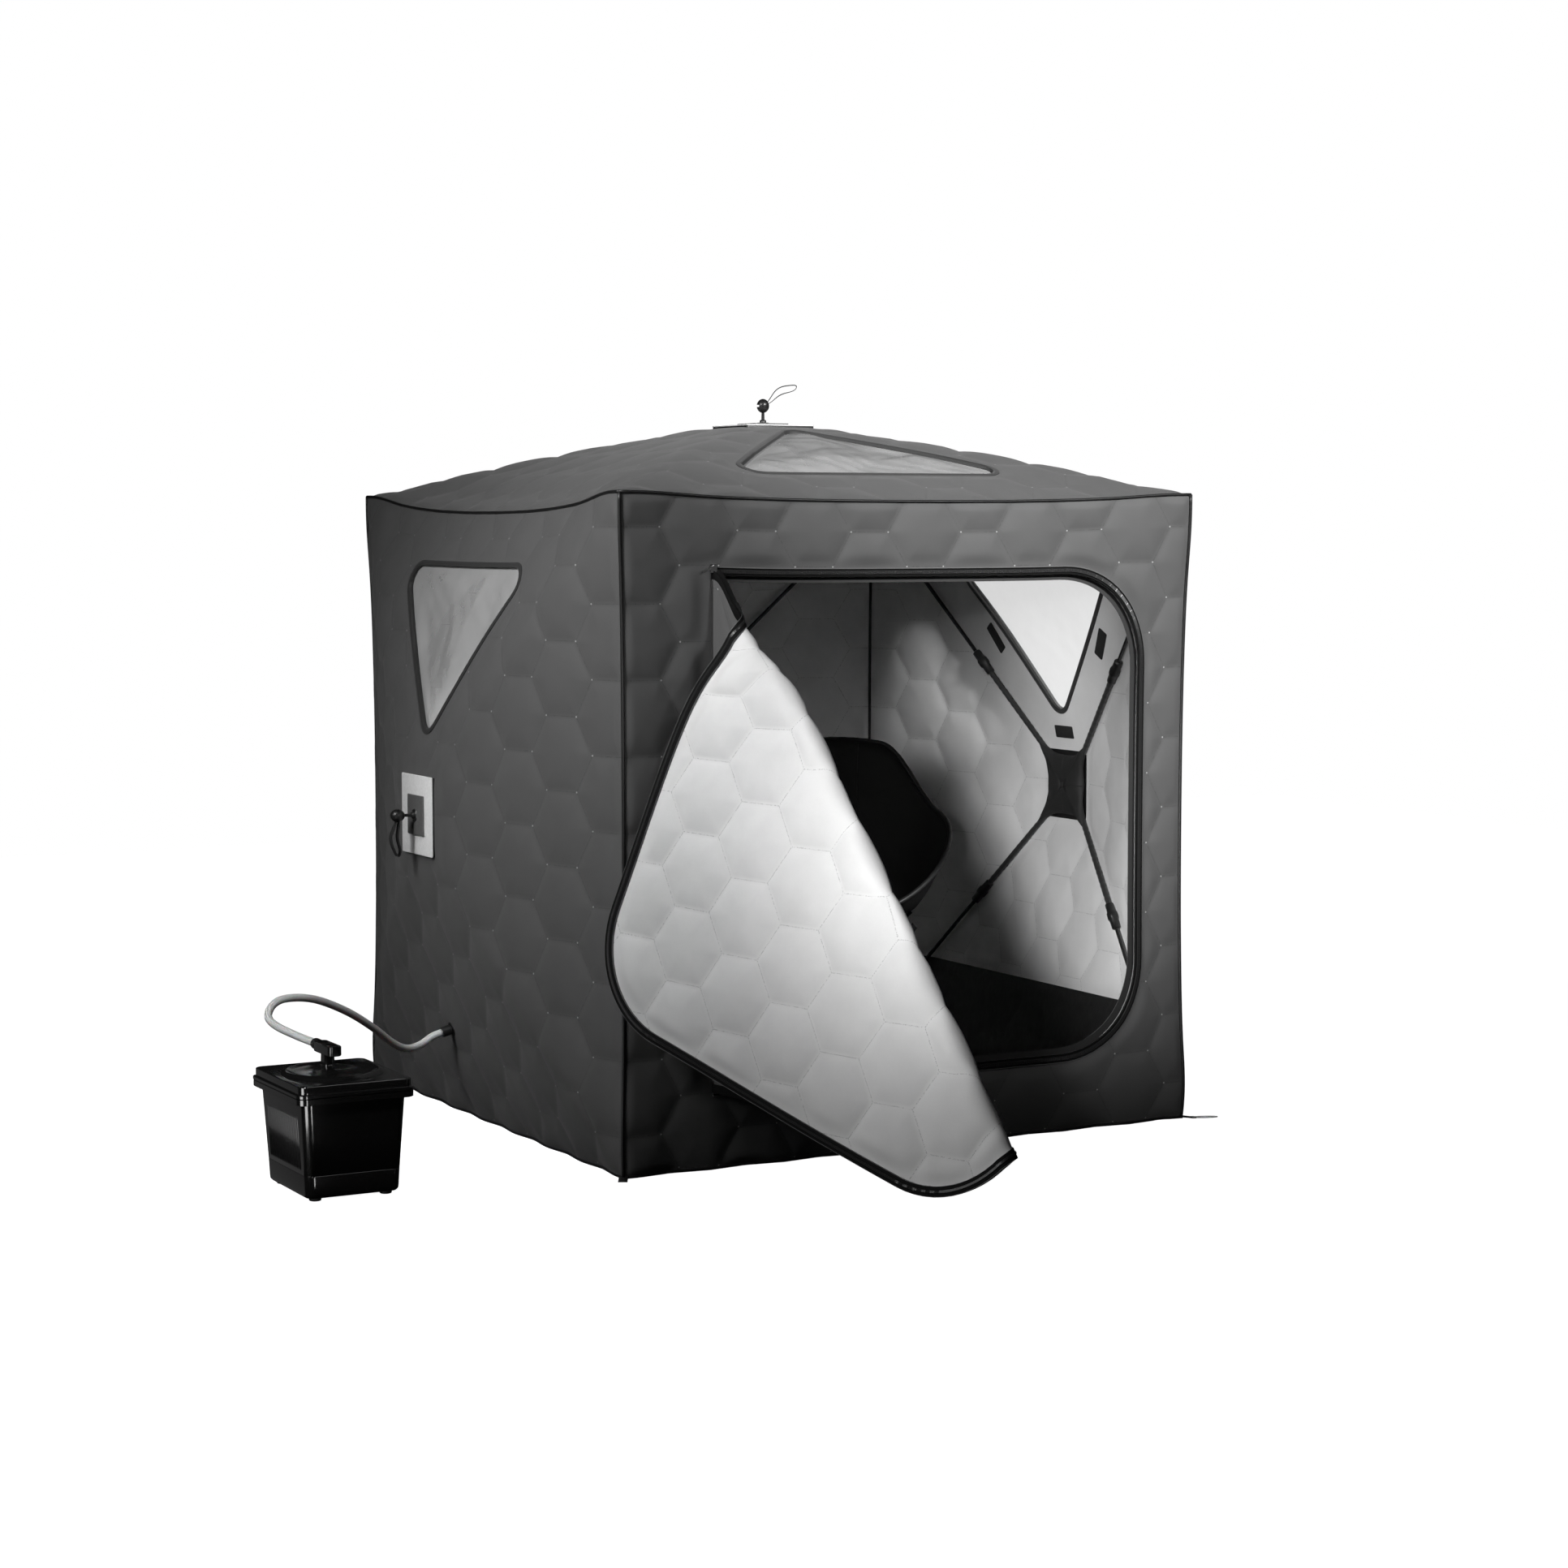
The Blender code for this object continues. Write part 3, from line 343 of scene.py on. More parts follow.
# ---- mesh tools -------------------------------------------------------------------------------
def piece(name, points, faces, materials, body=None, slot=None, marks=None, attributes=None):
    """A smooth-shaded mesh. marks gives each face its material, attributes a number for each point."""
    mesh = bpy.data.meshes.new(name)
    mesh.from_pydata(np.asarray(points, float).tolist(), [], [tuple(f) for f in np.asarray(faces).tolist()]
                     if isinstance(faces, np.ndarray) else faces)
    for mat in materials if isinstance(materials, (list, tuple)) else [materials]:
        mesh.materials.append(mat)
    mesh.shade_smooth()
    if marks is not None:
        mesh.polygons.foreach_set("material_index", np.asarray(marks, np.int32))
    for key, values in (attributes or {}).items():
        mesh.attributes.new(key, "FLOAT", "POINT").data.foreach_set("value", np.asarray(values, np.float32))
    mesh.update()
    obj = bpy.data.objects.new(name, mesh)
    bpy.context.collection.objects.link(obj)
    if body:
        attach(obj, body)
    return obj


def skin_of(loops, closed_ring=True, closed_run=False):
    """Points and quads of a surface through loops, one after another."""
    count, size = len(loops), len(loops[0])
    points = np.concatenate([np.asarray(loop, float) for loop in loops])
    faces = []
    for i in range(count if closed_run else count - 1):
        j = (i + 1) % count
        for k in range(size if closed_ring else size - 1):
            m = (k + 1) % size
            faces.append((i * size + k, i * size + m, j * size + m, j * size + k))
    return points, faces


def capped(points, faces, size):
    """Closes both ends of a tube whose rings have size points."""
    last = len(points) - size
    return points, faces + [tuple(reversed(range(size))), tuple(range(last, last + size))]


def frames_along(path):
    """Tangent, side and up at each point of a path, turning as little as the path does."""
    path = [Vector(p) for p in path]
    tangents = []
    for i, p in enumerate(path):
        tangents.append((path[min(i + 1, len(path) - 1)] - path[max(i - 1, 0)]).normalized())
    side = tangents[0].orthogonal().normalized()
    frames = []
    for t in tangents:
        side = (side - t * side.dot(t)).normalized()
        frames.append((t, side, t.cross(side)))
    return path, frames


def tube(name, path, radius, mat, body=None, slot=None, sides=10, closed=False):
    """A round tube along a path; radius is a number, or a function of the point's index."""
    path, frames = frames_along(path)
    size = radius if callable(radius) else lambda i: radius
    loops = []
    for i, (p, (_, a, b)) in enumerate(zip(path, frames)):
        loops.append([p + (a * math.cos(t) + b * math.sin(t)) * size(i)
                      for t in (math.tau * k / sides for k in range(sides))])
    points, faces = skin_of(loops, closed_run=closed)
    if not closed:
        points, faces = capped(points, faces, sides)
    return piece(name, points, faces, mat, body, slot)


def turned(name, base, axis, profile, mat, body, slot=None, count=24):
    """A solid of revolution: profile is (along the axis, radius), from base."""
    n = Vector(axis).normalized()
    a = n.orthogonal().normalized()
    b = n.cross(a)
    loops = [[Vector(base) + n * h + (a * math.cos(t) + b * math.sin(t)) * r
              for t in (math.tau * k / count for k in range(count))] for h, r in profile]
    points, faces = capped(*skin_of(loops), count)
    obj = piece(name, points, faces, mat, body, slot)
    obj.data.set_sharp_from_angle(angle=math.radians(38))
    return obj


# ---- lattices and outlines --------------------------------------------------------------------
def lattice(origin, reach, spacing=LATTICE, angle=0.0):
    """Points and triangles of a triangular lattice through origin, over a square of half side reach."""
    row = spacing * math.sqrt(3) / 2
    wide, high = int(2.4 * reach / spacing) + 2, int(2.4 * reach / row) + 2
    i, j = np.meshgrid(np.arange(-wide, wide + 1), np.arange(-high, high + 1))
    x, y = (i + (j % 2) * 0.5) * spacing, j * row
    c, s = math.cos(angle), math.sin(angle)
    points = np.stack([origin[0] + c * x - s * y, origin[1] + s * x + c * y], -1).reshape(-1, 2)
    index = np.arange(i.size).reshape(i.shape)
    a, b, c0, d = index[:-1, :-1], index[:-1, 1:], index[1:, :-1], index[1:, 1:]
    even = (j[:-1, :-1] % 2 == 0)[..., None]
    first = np.where(even, np.stack([a, b, c0], -1), np.stack([a, d, c0], -1))
    second = np.where(even, np.stack([b, d, c0], -1), np.stack([a, b, d], -1))
    return points, np.concatenate([first.reshape(-1, 3), second.reshape(-1, 3)])


def rounded(corners, radius, steps=8):
    """The corners' polygon with every corner rounded, as an array of points."""
    corners = [Vector(c) for c in corners]
    points = []
    for i, corner in enumerate(corners):
        a = (corners[i - 1] - corner).normalized()
        b = (corners[(i + 1) % len(corners)] - corner).normalized()
        half = a.angle(b) / 2
        centre = corner + (a + b).normalized() * radius / math.sin(half)
        start = corner + a * radius / math.tan(half) - centre
        end = corner + b * radius / math.tan(half) - centre
        swing = start.angle_signed(end)
        for s in range(steps + 1):
            points.append(centre + Matrix.Rotation(-swing * s / steps, 2) @ start)
    return np.array(points)


def to_outline(points, outline):
    """Signed distance to a closed outline, negative inside, and its nearest point."""
    best = np.full(len(points), 1e9)
    nearest = points.copy()
    inside = np.zeros(len(points), bool)
    for a, b in zip(outline, np.roll(outline, -1, 0)):
        d = b - a
        length = max(d @ d, 1e-14)
        t = np.clip((points - a) @ d / length, 0, 1)
        on = a + t[:, None] * d
        gap = np.hypot(*(points - on).T)
        closer = gap < best
        best[closer], nearest[closer] = gap[closer], on[closer]
        crosses = (a[1] > points[:, 1]) != (b[1] > points[:, 1])
        with np.errstate(divide="ignore", invalid="ignore"):
            at = (b[0] - a[0]) * (points[:, 1] - a[1]) / (b[1] - a[1]) + a[0]
        inside ^= crosses & (points[:, 0] < at)
    return np.where(inside, -best, best), nearest


def beyond_square(half):
    return lambda p: (np.abs(p).max(1) - half, np.clip(p, -half, half))


def beyond(outline):
    return lambda p: to_outline(p, outline)


def within(outline):
    def measure(p):
        gap, nearest = to_outline(p, outline)
        return -gap, nearest
    return measure


def cut(points, triangles, *bounds):
    """Drops what lies past the bounds, and draws the ragged border on to them."""
    gone = np.zeros(len(points), bool)
    moved = points.copy()
    for bound in bounds:
        depth, nearest = bound(points)
        moved[depth > 0] = nearest[depth > 0]
        gone |= depth > 0
    triangles = triangles[~gone[triangles].all(1)]
    a, b, c = (moved[triangles[:, k]] for k in range(3))
    area = (b - a)[:, 0] * (c - a)[:, 1] - (b - a)[:, 1] * (c - a)[:, 0]
    triangles = triangles[np.abs(area) > 1e-8]
    used, index = np.unique(triangles, return_inverse=True)
    return moved[used], index.reshape(-1, 3)


def hexagons(points, origin=HEX_AT, angle=0.0):
    """Distance from each point to the nearest seam, and to the nearest place where three seams meet."""
    side = HEX / math.sqrt(3)
    c, s = math.cos(-angle), math.sin(-angle)
    p = points - np.array(origin)
    p = np.stack([c * p[:, 0] - s * p[:, 1], s * p[:, 0] + c * p[:, 1]], 1)
    best = np.full(len(p), 1e9)
    offset = p.copy()
    column = np.round(p[:, 0] / (1.5 * side))
    for shift in (-1, 0, 1):
        k = column + shift
        lift = (k % 2) * HEX / 2
        centre = np.stack([k * 1.5 * side, np.round((p[:, 1] - lift) / HEX) * HEX + lift], 1)
        gap = np.hypot(*(p - centre).T)
        closer = gap < best
        best[closer], offset[closer] = gap[closer], (p - centre)[closer]
    q = np.abs(offset)
    reach = np.maximum(q[:, 1], q[:, 0] * math.sqrt(3) / 2 + q[:, 1] / 2)
    corner = np.minimum(np.hypot(q[:, 0] - side, q[:, 1]), np.hypot(q[:, 0] - side / 2, q[:, 1] - HEX / 2))
    return np.maximum(HEX / 2 - reach, 0), corner


def pillow(seam, height):
    """The wadding's height over a seam distance: steep by the seam, flat in the middle."""
    return height * (1 - (1 - np.clip(seam / (HEX / 2), 0, 1)) ** 2.6)


def window_outline(wall, grow=0.0):
    half, wide, point, radius, side = WINDOWS[wall]
    spread = grow * 2.5
    corners = [(-half - spread, side * (wide + grow)), (0.0, side * (point - spread)),
               (half + spread, side * (wide + grow))]
    return rounded(corners if side > 0 else corners[::-1], radius)


def resample(path, spacing, closed=False):
    """Points one spacing apart along a polyline."""
    path = np.asarray(path, float)
    if closed:
        path = np.concatenate([path, path[:1]])
    steps = np.linalg.norm(np.diff(path, axis=0), axis=1)
    walked = np.concatenate([[0], np.cumsum(steps)])
    count = max(int(round(walked[-1] / spacing)), 2)
    goals = np.linspace(0, walked[-1], count + 1)
    if closed:
        goals = goals[:-1]
    return np.stack([np.interp(goals, walked, path[:, k]) for k in range(path.shape[1])], 1)


def normals_of(path, closed=False):
    """Unit normals to the right of each point of a plane path."""
    if closed:
        ahead = np.roll(path, -1, 0) - np.roll(path, 1, 0)
    else:
        ahead = np.gradient(path, axis=0)
    ahead /= np.linalg.norm(ahead, axis=1)[:, None]
    return np.stack([ahead[:, 1], -ahead[:, 0]], 1)


def band(name, path, profile, place, mat, closed=False, spacing=0.008, teeth=0.0, marks=None, **more):
    """A strip that follows a plane path. profile is a closed section of (across, height) points, and
    place(points, heights) puts them in space; teeth raises every second section."""
    path = resample(path, spacing, closed)
    normal = normals_of(path, closed)
    loops = []
    for across, height in profile:
        lift = np.full(len(path), height)
        if teeth and height > 0:
            lift[::2] += teeth
        loops.append(place(path + normal * across, lift))
    sections = np.stack(loops, 1)
    points, faces = skin_of(list(sections), closed_run=closed)
    if not closed:
        points, faces = capped(points, faces, len(profile))
    if marks is not None:
        size = len(profile)
        marks = [marks[i % size] for i in range(len(faces))]
    obj = piece(name, points, faces, mat, marks=marks, **more)
    obj.data.set_sharp_from_angle(angle=math.radians(50))
    return obj


# ---- cabin walls ------------------------------------------------------------------------------
EAVE_SAG = {(0, -1): 0.020, (0, 1): 0.040, (1, -1): 0.046, (1, 1): 0.046}
PINCH = 0.020


def pull(q):
    """How far the cube's edges sag and pinch in, for points q of its surface, relative to its centre."""
    order = np.sort(np.abs(q), axis=1)
    guard = 1 - np.exp(-(((order[:, 1] - order[:, 0]) / 0.14) ** 2))
    total = np.zeros_like(q)
    for run in range(3):
        a, b = [k for k in range(3) if k != run]
        bow = 1 - (np.abs(q[:, run]) / HALF) ** 2.4
        for sa in (-1, 1):
            for sb in (-1, 1):
                gap = np.hypot(HALF - sa * q[:, a], HALF - sb * q[:, b])
                weight = np.clip(1 - gap / 0.42, 0, 1) ** 2 * bow * guard
                if run == 2:
                    total[:, a] -= sa * weight * PINCH * 0.7
                    total[:, b] -= sb * weight * PINCH * 0.7
                elif sb > 0:
                    sag = EAVE_SAG[(run, sa)]
                    total[:, 2] -= weight * sag
                    total[:, a] -= sa * weight * sag * 0.45
                else:
                    wave = 0.5 - 0.5 * np.cos(q[:, run] * math.tau / 0.20 + sa)
                    near = np.clip(1 - gap / 0.16, 0, 1) ** 2
                    total[:, a] -= sa * near * (0.004 + 0.008 * wave)
                    total[:, 2] += near * 0.006 * wave
    return total


def bulge(p):
    """Height of a hubbed wall above the cube's face, with its ridges rounded over the poles."""
    a, b = np.abs(p).T
    blunt = 0.03
    far = (a + b + np.sqrt((a - b) ** 2 + blunt ** 2)) / 2
    rise = np.clip(SLOPE * (HALF - far), 0, RISE)
    return rise + 0.009 * np.sin(math.pi * rise / RISE) * smooth(0, 0.25, rise / RISE)


def on_wall(wall, depth=0.0):
    """place(points, heights) for a wall; at a depth inside it, the wall is that much smaller all round."""
    n, u, v = (np.array(d, float) for d in WALLS[wall])
    share = (HALF - depth) / HALF
    rise = bulge if wall in HUBBED else lambda p: np.zeros(len(p))

    def place(p, h):
        face = p[:, :1] * u + p[:, 1:] * v + n * HALF
        inner = (p[:, :1] * u + p[:, 1:] * v) * share + n * HALF
        high = rise(p) - depth + h
        return inner + pull(face) + high[:, None] * n + np.array((0, 0, HALF))
    return place


def hub_blend(obj, wall, depth=0.0):
    """Bakes a piece's transform into its mesh."""
    n = Vector(WALLS[wall][0])
    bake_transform(obj)


ARC_STEPS = 16                   # points on each round corner of the door


def door_path(grow=0.0):
    """The zipped edge of the door opening, from the top left corner round to the bottom left."""
    x1, z0, z1 = DOOR_RIGHT + grow, DOOR_BOTTOM - grow, DOOR_TOP + grow
    radius = DOOR_RADIUS + grow
    points = [(DOOR_LEFT, z1)]
    for centre_z, start in ((z1 - radius, math.pi / 2), (z0 + radius, 0.0)):
        for s in range(ARC_STEPS + 1):
            angle = start - math.pi / 2 * s / ARC_STEPS
            points.append((x1 - radius + radius * math.cos(angle), centre_z + radius * math.sin(angle)))
    points.append((DOOR_LEFT, z0))
    return np.array(points)


WINDOW_FADE = 0.045              # width beside a window over which the wadding thins out


def flatten(p, wall):
    """How much of the wadding is left beside an edge, a window or the hub plate: 0 none, 1 all."""
    keep = smooth(0, 0.022, HALF - np.abs(p).max(1))
    if wall in WINDOWS:
        keep *= smooth(0.012, WINDOW_FADE + 0.012, np.abs(to_outline(p, window_outline(wall))[0]))
    if wall in HUBBED:
        keep *= smooth(0.10, 0.16, np.abs(p).max(1))
    else:
        opening = door_path() - np.array((0, HALF))
        keep *= smooth(0.022, 0.060, np.abs(to_outline(p, opening)[0]))
    return keep


def wall_pieces(wall):
    """The charcoal outside and the pale lining of one wall."""
    hex_at = HEX_AT if wall != "front" else (-HEX_AT[0], HEX_AT[1])
    points, triangles = lattice(hex_at, HALF)
    bounds = [beyond_square(HALF)]
    if wall in WINDOWS:
        bounds.append(within(window_outline(wall)))
    if wall in HUBBED:
        square = np.array([(-HOLE, -HOLE), (HOLE, -HOLE), (HOLE, HOLE), (-HOLE, HOLE)])
        bounds.append(within(square))
    else:
        bounds.append(within(door_path() - np.array((0, HALF))))
    p, faces = cut(points, triangles, *bounds)
    seam, knot = hexagons(p, hex_at)
    wadding = flatten(p, wall)
    marks = {"seam": seam, "knot": knot}
    inner_marks = dict(marks)
    lining_wadding = wadding
    if wall in WINDOWS:                     # the lining isn't quilted round a window
        quilted_part = smooth(-0.02, 0.0, np.abs(p[:, 0]) - WINDOWS[wall][4] * p[:, 1])
        lining_wadding = wadding * quilted_part
        inner_marks["seam"] = np.where(quilted_part > 0.5, seam, 1.0)
    if wall != "roof":
        lining_wadding = lining_wadding * smooth(0.012, 0.045, np.abs(p[:, 1] - SKIRT + HALF))
    ridge_gap = np.abs(np.abs(p[:, 0]) - np.abs(p[:, 1])) if wall in HUBBED else np.full(len(p), 1.0)
    outer = on_wall(wall)(p, pillow(seam, PUFF_OUTER) * wadding)
    inner = on_wall(wall, SKIN)(p, -pillow(seam, PUFF_LINING) * lining_wadding * smooth(0.0, 0.06, ridge_gap))
    node = {"roof": "roof_panel"}.get(wall, f"{wall}_wall")
    shell = piece(f"{wall}_outer_cloth", outer, faces, M["quilt"], attributes=marks)
    low = inner[faces].mean(1)[:, 2] < SKIRT
    lining = piece(f"{wall}_lining", inner, faces[:, ::-1], [M["lining"], M["ground"]],
                   marks=low, attributes=inner_marks)
    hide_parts(node)
    for obj, depth in ((shell, 0.0), (lining, SKIN)):
        if wall in HUBBED:
            hub_blend(obj, wall, depth)
        else:
            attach(obj, "cabin")


def fold_creases(p, lines):
    """Heights of a creased film: each line is a point, a direction in degrees, a height and a width."""
    h = np.zeros(len(p))
    for (x, y), degrees, height, width in lines:
        across = np.array((-math.sin(math.radians(degrees)), math.cos(math.radians(degrees))))
        gap = np.abs((p - np.array((x, y))) @ across)
        h += height * np.clip(1 - gap / width, 0, 1)
    return h


def windows():
    """Creased clear film, with a black binding on both sides of its edge."""
    creases = {
        "left": [((0.02, 0.48), -52, 0.012, 0.16), ((-0.05, 0.52), 38, -0.010, 0.12),
                 ((0.12, 0.55), 80, 0.008, 0.10)],
        "right": [((0.0, 0.45), 60, 0.006, 0.16)],
        "roof": [((-0.05, -0.42), 70, 0.012, 0.12), ((0.10, -0.45), 40, -0.010, 0.10),
                 ((-0.12, -0.5), 10, 0.008, 0.1)],
    }
    for wall in WINDOWS:
        outline = window_outline(wall)
        sheet = lattice((0.0, 0.4 * WINDOWS[wall][4]), 0.45, 0.012)
        p, faces = cut(*sheet, beyond(window_outline(wall, 0.004)))
        gap = -to_outline(p, outline)[0]
        x, y = p[:, 0], p[:, 1]
        ripple = 0.0012 * np.sin(x * 61 + 3 * np.sin(y * 23)) * np.sin(y * 47 + x * 13)
        h = (fold_creases(p, creases[wall]) + ripple) * smooth(0.0, 0.05, gap)
        film = piece(f"{wall}_film", on_wall(wall, FILM_DEPTH)(p, h), faces, M["film"], slot="window_film")
        hub_blend(film, wall, FILM_DEPTH)
        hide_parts(f"{wall}_window")
        for side, depth, lift in (("outer", 0.0, 1), ("inner", SKIN, -1)):
            section = [(-0.004, -0.006 * lift), (-0.003, 0.0015 * lift), (0.001, 0.0034 * lift),
                       (0.006, 0.0030 * lift), (0.011, 0.0022 * lift), (0.012, -0.002 * lift)]
            trim = band(f"{wall}_window_{side}_binding", outline, section, on_wall(wall, depth), M["binding"],
                        closed=True, slot="zip_tape")
            hub_blend(trim, wall, depth)


EDGE_POINTS = 90                 # points along one edge of the cabin


def edge_points(run, sa, sb, shrink):
    """Points along one edge of the cube, sagged as the walls are; shrink brings it inside."""
    a, b = [k for k in range(3) if k != run]
    q = np.zeros((EDGE_POINTS, 3))
    q[:, run] = np.linspace(-HALF, HALF, EDGE_POINTS)
    q[:, a], q[:, b] = sa * HALF, sb * HALF
    sagged = q + pull(q)
    sagged[:, run] *= (HALF - shrink) / HALF
    sagged[:, a] -= sa * shrink
    sagged[:, b] -= sb * shrink
    return sagged + np.array((0, 0, HALF))


def piping():
    """Round piping in every outside edge, and a black seam tape in the upright corners inside."""
    number = 0
    for run in range(3):
        for sa in (-1, 1):
            for sb in (-1, 1):
                number += 1
                radius = 0.0045 if run == 2 else 0.0038
                path = edge_points(run, sa, sb, shrink=-0.001)
                if run != 2 and sb < 0:
                    path[:, 2] = np.maximum(path[:, 2], 0.0045)
                tube(f"edge_piping_{number:02d}", path, radius, M["piping"], "cabin", "zip_tape", sides=8)
                if run == 2:
                    inside = edge_points(run, sa, sb, shrink=SKIN + 0.001)
                    tube(f"inner_corner_tape_{number:02d}", inside, 0.0045, M["binding"], "cabin", "zip_tape",
                         sides=8)


def ground_sheet():
    """The black floor, with the slack of a sheet that has been folded."""
    half = HALF - SKIN - 0.004
    count = 90
    line = np.linspace(-half, half, count)
    x, y = np.meshgrid(line, line)
    wave = 0.0016 * np.sin(x * 17 + 2 * np.sin(y * 9)) + 0.0014 * np.sin(y * 23 + 3 * np.sin(x * 7))
    z = 0.006 + np.clip(wave, -0.003, 0.003)
    points = np.stack([x, y, z], -1).reshape(-1, 3)
    index = np.arange(count * count).reshape(count, count)
    faces = np.stack([index[:-1, :-1], index[:-1, 1:], index[1:, 1:], index[1:, :-1]], -1).reshape(-1, 4)
    sheet = piece("ground_sheet", points, faces, M["ground"], "cabin", "ground_sheet")
    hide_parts("floor_panel")


# ---- door -------------------------------------------------------------------------------------
FOLD_START = np.array((FOLD_TOP[0], DOOR_BOTTOM + FOLD_TOP[1]))
FOLD_END = np.array((FOLD_FOOT[0], DOOR_BOTTOM + FOLD_FOOT[1]))
FOLD_ALONG = (FOLD_END - FOLD_START) / np.linalg.norm(FOLD_END - FOLD_START)
FOLD_UP = np.array((-FOLD_ALONG[1], FOLD_ALONG[0]))
CREST, CREST_PULL = 0.035, 0.041 # half the cloth that the bend takes, and how full the bend is
SAG, SAG_REACH = 0.11, 0.22      # how far the cloth drops where the fold meets the top edge
CURL = 0.065                     # the folded half curls in by this share at its far corner
DOOR_HEX_ANGLE = 2 * math.atan2(FOLD_ALONG[1], FOLD_ALONG[0])


def on_door(p, depth):
    """Points of the door as it hangs, opened and folded over: p is across from the hinge and up,
    depth 0 is the charcoal face and SKIN the lining."""
    rel = p - FOLD_START
    t, s = rel @ FOLD_ALONG, rel @ FOLD_UP
    depth = depth + np.zeros(len(p))
    out = depth + FOLD_STAND
    c, sn = math.cos(DOOR_FOLD), math.sin(DOOR_FOLD)
    over = s - CURL * smooth(0.05, 0.75, s) * np.clip(s, 0, None)
    across = np.where(s < 0, s, over * c + out * sn)
    y = np.where(s < 0, depth, out * c - over * sn - FOLD_STAND)

    f = np.clip((s + CREST) / (2 * CREST), 0, 1)
    first, last = np.stack([np.full(len(p), -CREST), depth]), np.stack([CREST * c + out * sn,
                                                                     out * c - CREST * sn - FOLD_STAND])
    lead = first + np.array([[CREST_PULL], [0.0]])
    trail = last + CREST_PULL * np.array([[-c], [sn]])
    bend = (1 - f) ** 3 * first + 3 * f * (1 - f) ** 2 * lead + 3 * f ** 2 * (1 - f) * trail + f ** 3 * last
    across = np.where(np.abs(s) < CREST, bend[0], across)
    y = np.where(np.abs(s) < CREST, bend[1], y)

    flat = FOLD_START + t[:, None] * FOLD_ALONG + across[:, None] * FOLD_UP
    flat[:, 1] -= SAG * np.exp(-(np.hypot(*rel.T) / SAG_REACH) ** 2) * smooth(0, 0.12, p[:, 0])
    c, sn = math.cos(-DOOR_OPEN), math.sin(-DOOR_OPEN)
    return np.stack([DOOR_LEFT + flat[:, 0] * c - y * sn, -HALF + flat[:, 0] * sn + y * c, flat[:, 1]], 1)


def door_edge():
    """The door's own outline, from its hinge: across and up, as door_path but smaller."""
    return door_path(-DOOR_CLEAR) - np.array((DOOR_LEFT, 0))


def door_blend(obj):
    """Bakes a door piece's transform into its mesh."""
    foot = on_door(FOLD_START[None] - 0.02 * FOLD_UP, np.array([0.0]))[0]
    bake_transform(obj)


def door():
    """One quilted leaf, charcoal outside and pale inside, with zip tape round its free edge."""
    edge = door_edge()
    middle = (0.60, 0.80)
    points, triangles = lattice(middle, 0.75, angle=DOOR_HEX_ANGLE)
    p, faces = cut(points, triangles, beyond(edge))
    seam, knot = hexagons(p, middle, DOOR_HEX_ANGLE)
    gap = -to_outline(p, edge)[0]
    wadding = smooth(0.004, 0.045, gap)
    marks = {"seam": seam, "knot": knot}
    lining_points = on_door(p, SKIN - 0.003 + pillow(seam, PUFF_DOOR) * wadding)
    lining = piece("door_lining", lining_points, faces[:, ::-1], M["lining"], attributes=marks,
                   slot="quilted_shell")
    outer_points = on_door(p, 0.002 - pillow(seam, 0.004) * wadding)
    outer = piece("door_outer_cloth", outer_points, faces, M["quilt"], attributes=marks, slot="quilted_shell")
    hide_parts("door_lower")
    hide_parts("door_upper")
    path = np.concatenate([edge, edge[:1]])
    section = [(-0.018, -0.0012), (0.0010, -0.0012), (0.0030, 0.0010), (0.0034, 0.0030), (0.0034, 0.0120),
               (0.0022, 0.0142), (-0.0010, 0.0146), (-0.0190, 0.0140), (-0.0205, 0.0134), (-0.0205, 0.0110),
               (-0.016, 0.0060)]
    tape = band("door_zip_tape", edge, section, on_door, [M["tape"], M["edge"]], spacing=0.006,
                marks=[0, 0, 1, 1, 1, 0, 0, 1, 0, 0, 0], slot="zip_tape")
    section = [(-0.0120, 0.0140), (-0.0112, 0.0163), (-0.0062, 0.0163), (-0.0054, 0.0140)]
    coil = band("door_zip_coil", edge, section, on_door, M["coil"], spacing=0.0024, teeth=0.0011,
                slot="zip_tape")
    hem = tube("door_hinge_seam", on_door(resample([path[-2], path[-1]], 0.01), np.full(1, 0.004)), 0.004,
               M["piping"], "door_lower", "zip_tape", sides=8)
    for obj in (lining, outer, tape, coil):
        door_blend(obj)


def opening_zip():
    """Tape and coil round the door opening, and a binding along it on the lining side."""
    place = on_wall("front")
    path = door_path() - np.array((0, HALF))
    section = [(-TAPE_SHOWN, -0.001), (-TAPE_SHOWN, 0.0034), (-TAPE_SHOWN + 0.0022, 0.0038),
               (-0.0180, 0.0024), (-0.0050, 0.0024), (-TAPE_NEAR, 0.0032), (-TAPE_NEAR + 0.002, -0.002),
               (-0.006, -0.004)]
    tape = band("opening_zip_tape", path, section, place, [M["tape"], M["edge"]], spacing=0.006,
                marks=[0, 1, 0, 0, 0, 0, 0, 0], body="cabin", slot="zip_tape")
    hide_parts("zip_track")
    section = [(-0.0172, 0.0018), (-0.0160, 0.0042), (-0.0078, 0.0042), (-0.0066, 0.0018)]
    band("opening_zip_coil", path, section, place, M["coil"], spacing=0.0021, teeth=0.0013,
         body="cabin", slot="zip_tape")
    lining_section = [(-0.016, -0.001), (-0.016, 0.002), (0.002, 0.003), (0.004, -0.002)]
    inner = on_wall("front", SKIN)
    band("opening_inner_binding", path, lining_section, lambda q, h: inner(q, -h), M["binding"], spacing=0.01,
         body="cabin", slot="zip_tape")


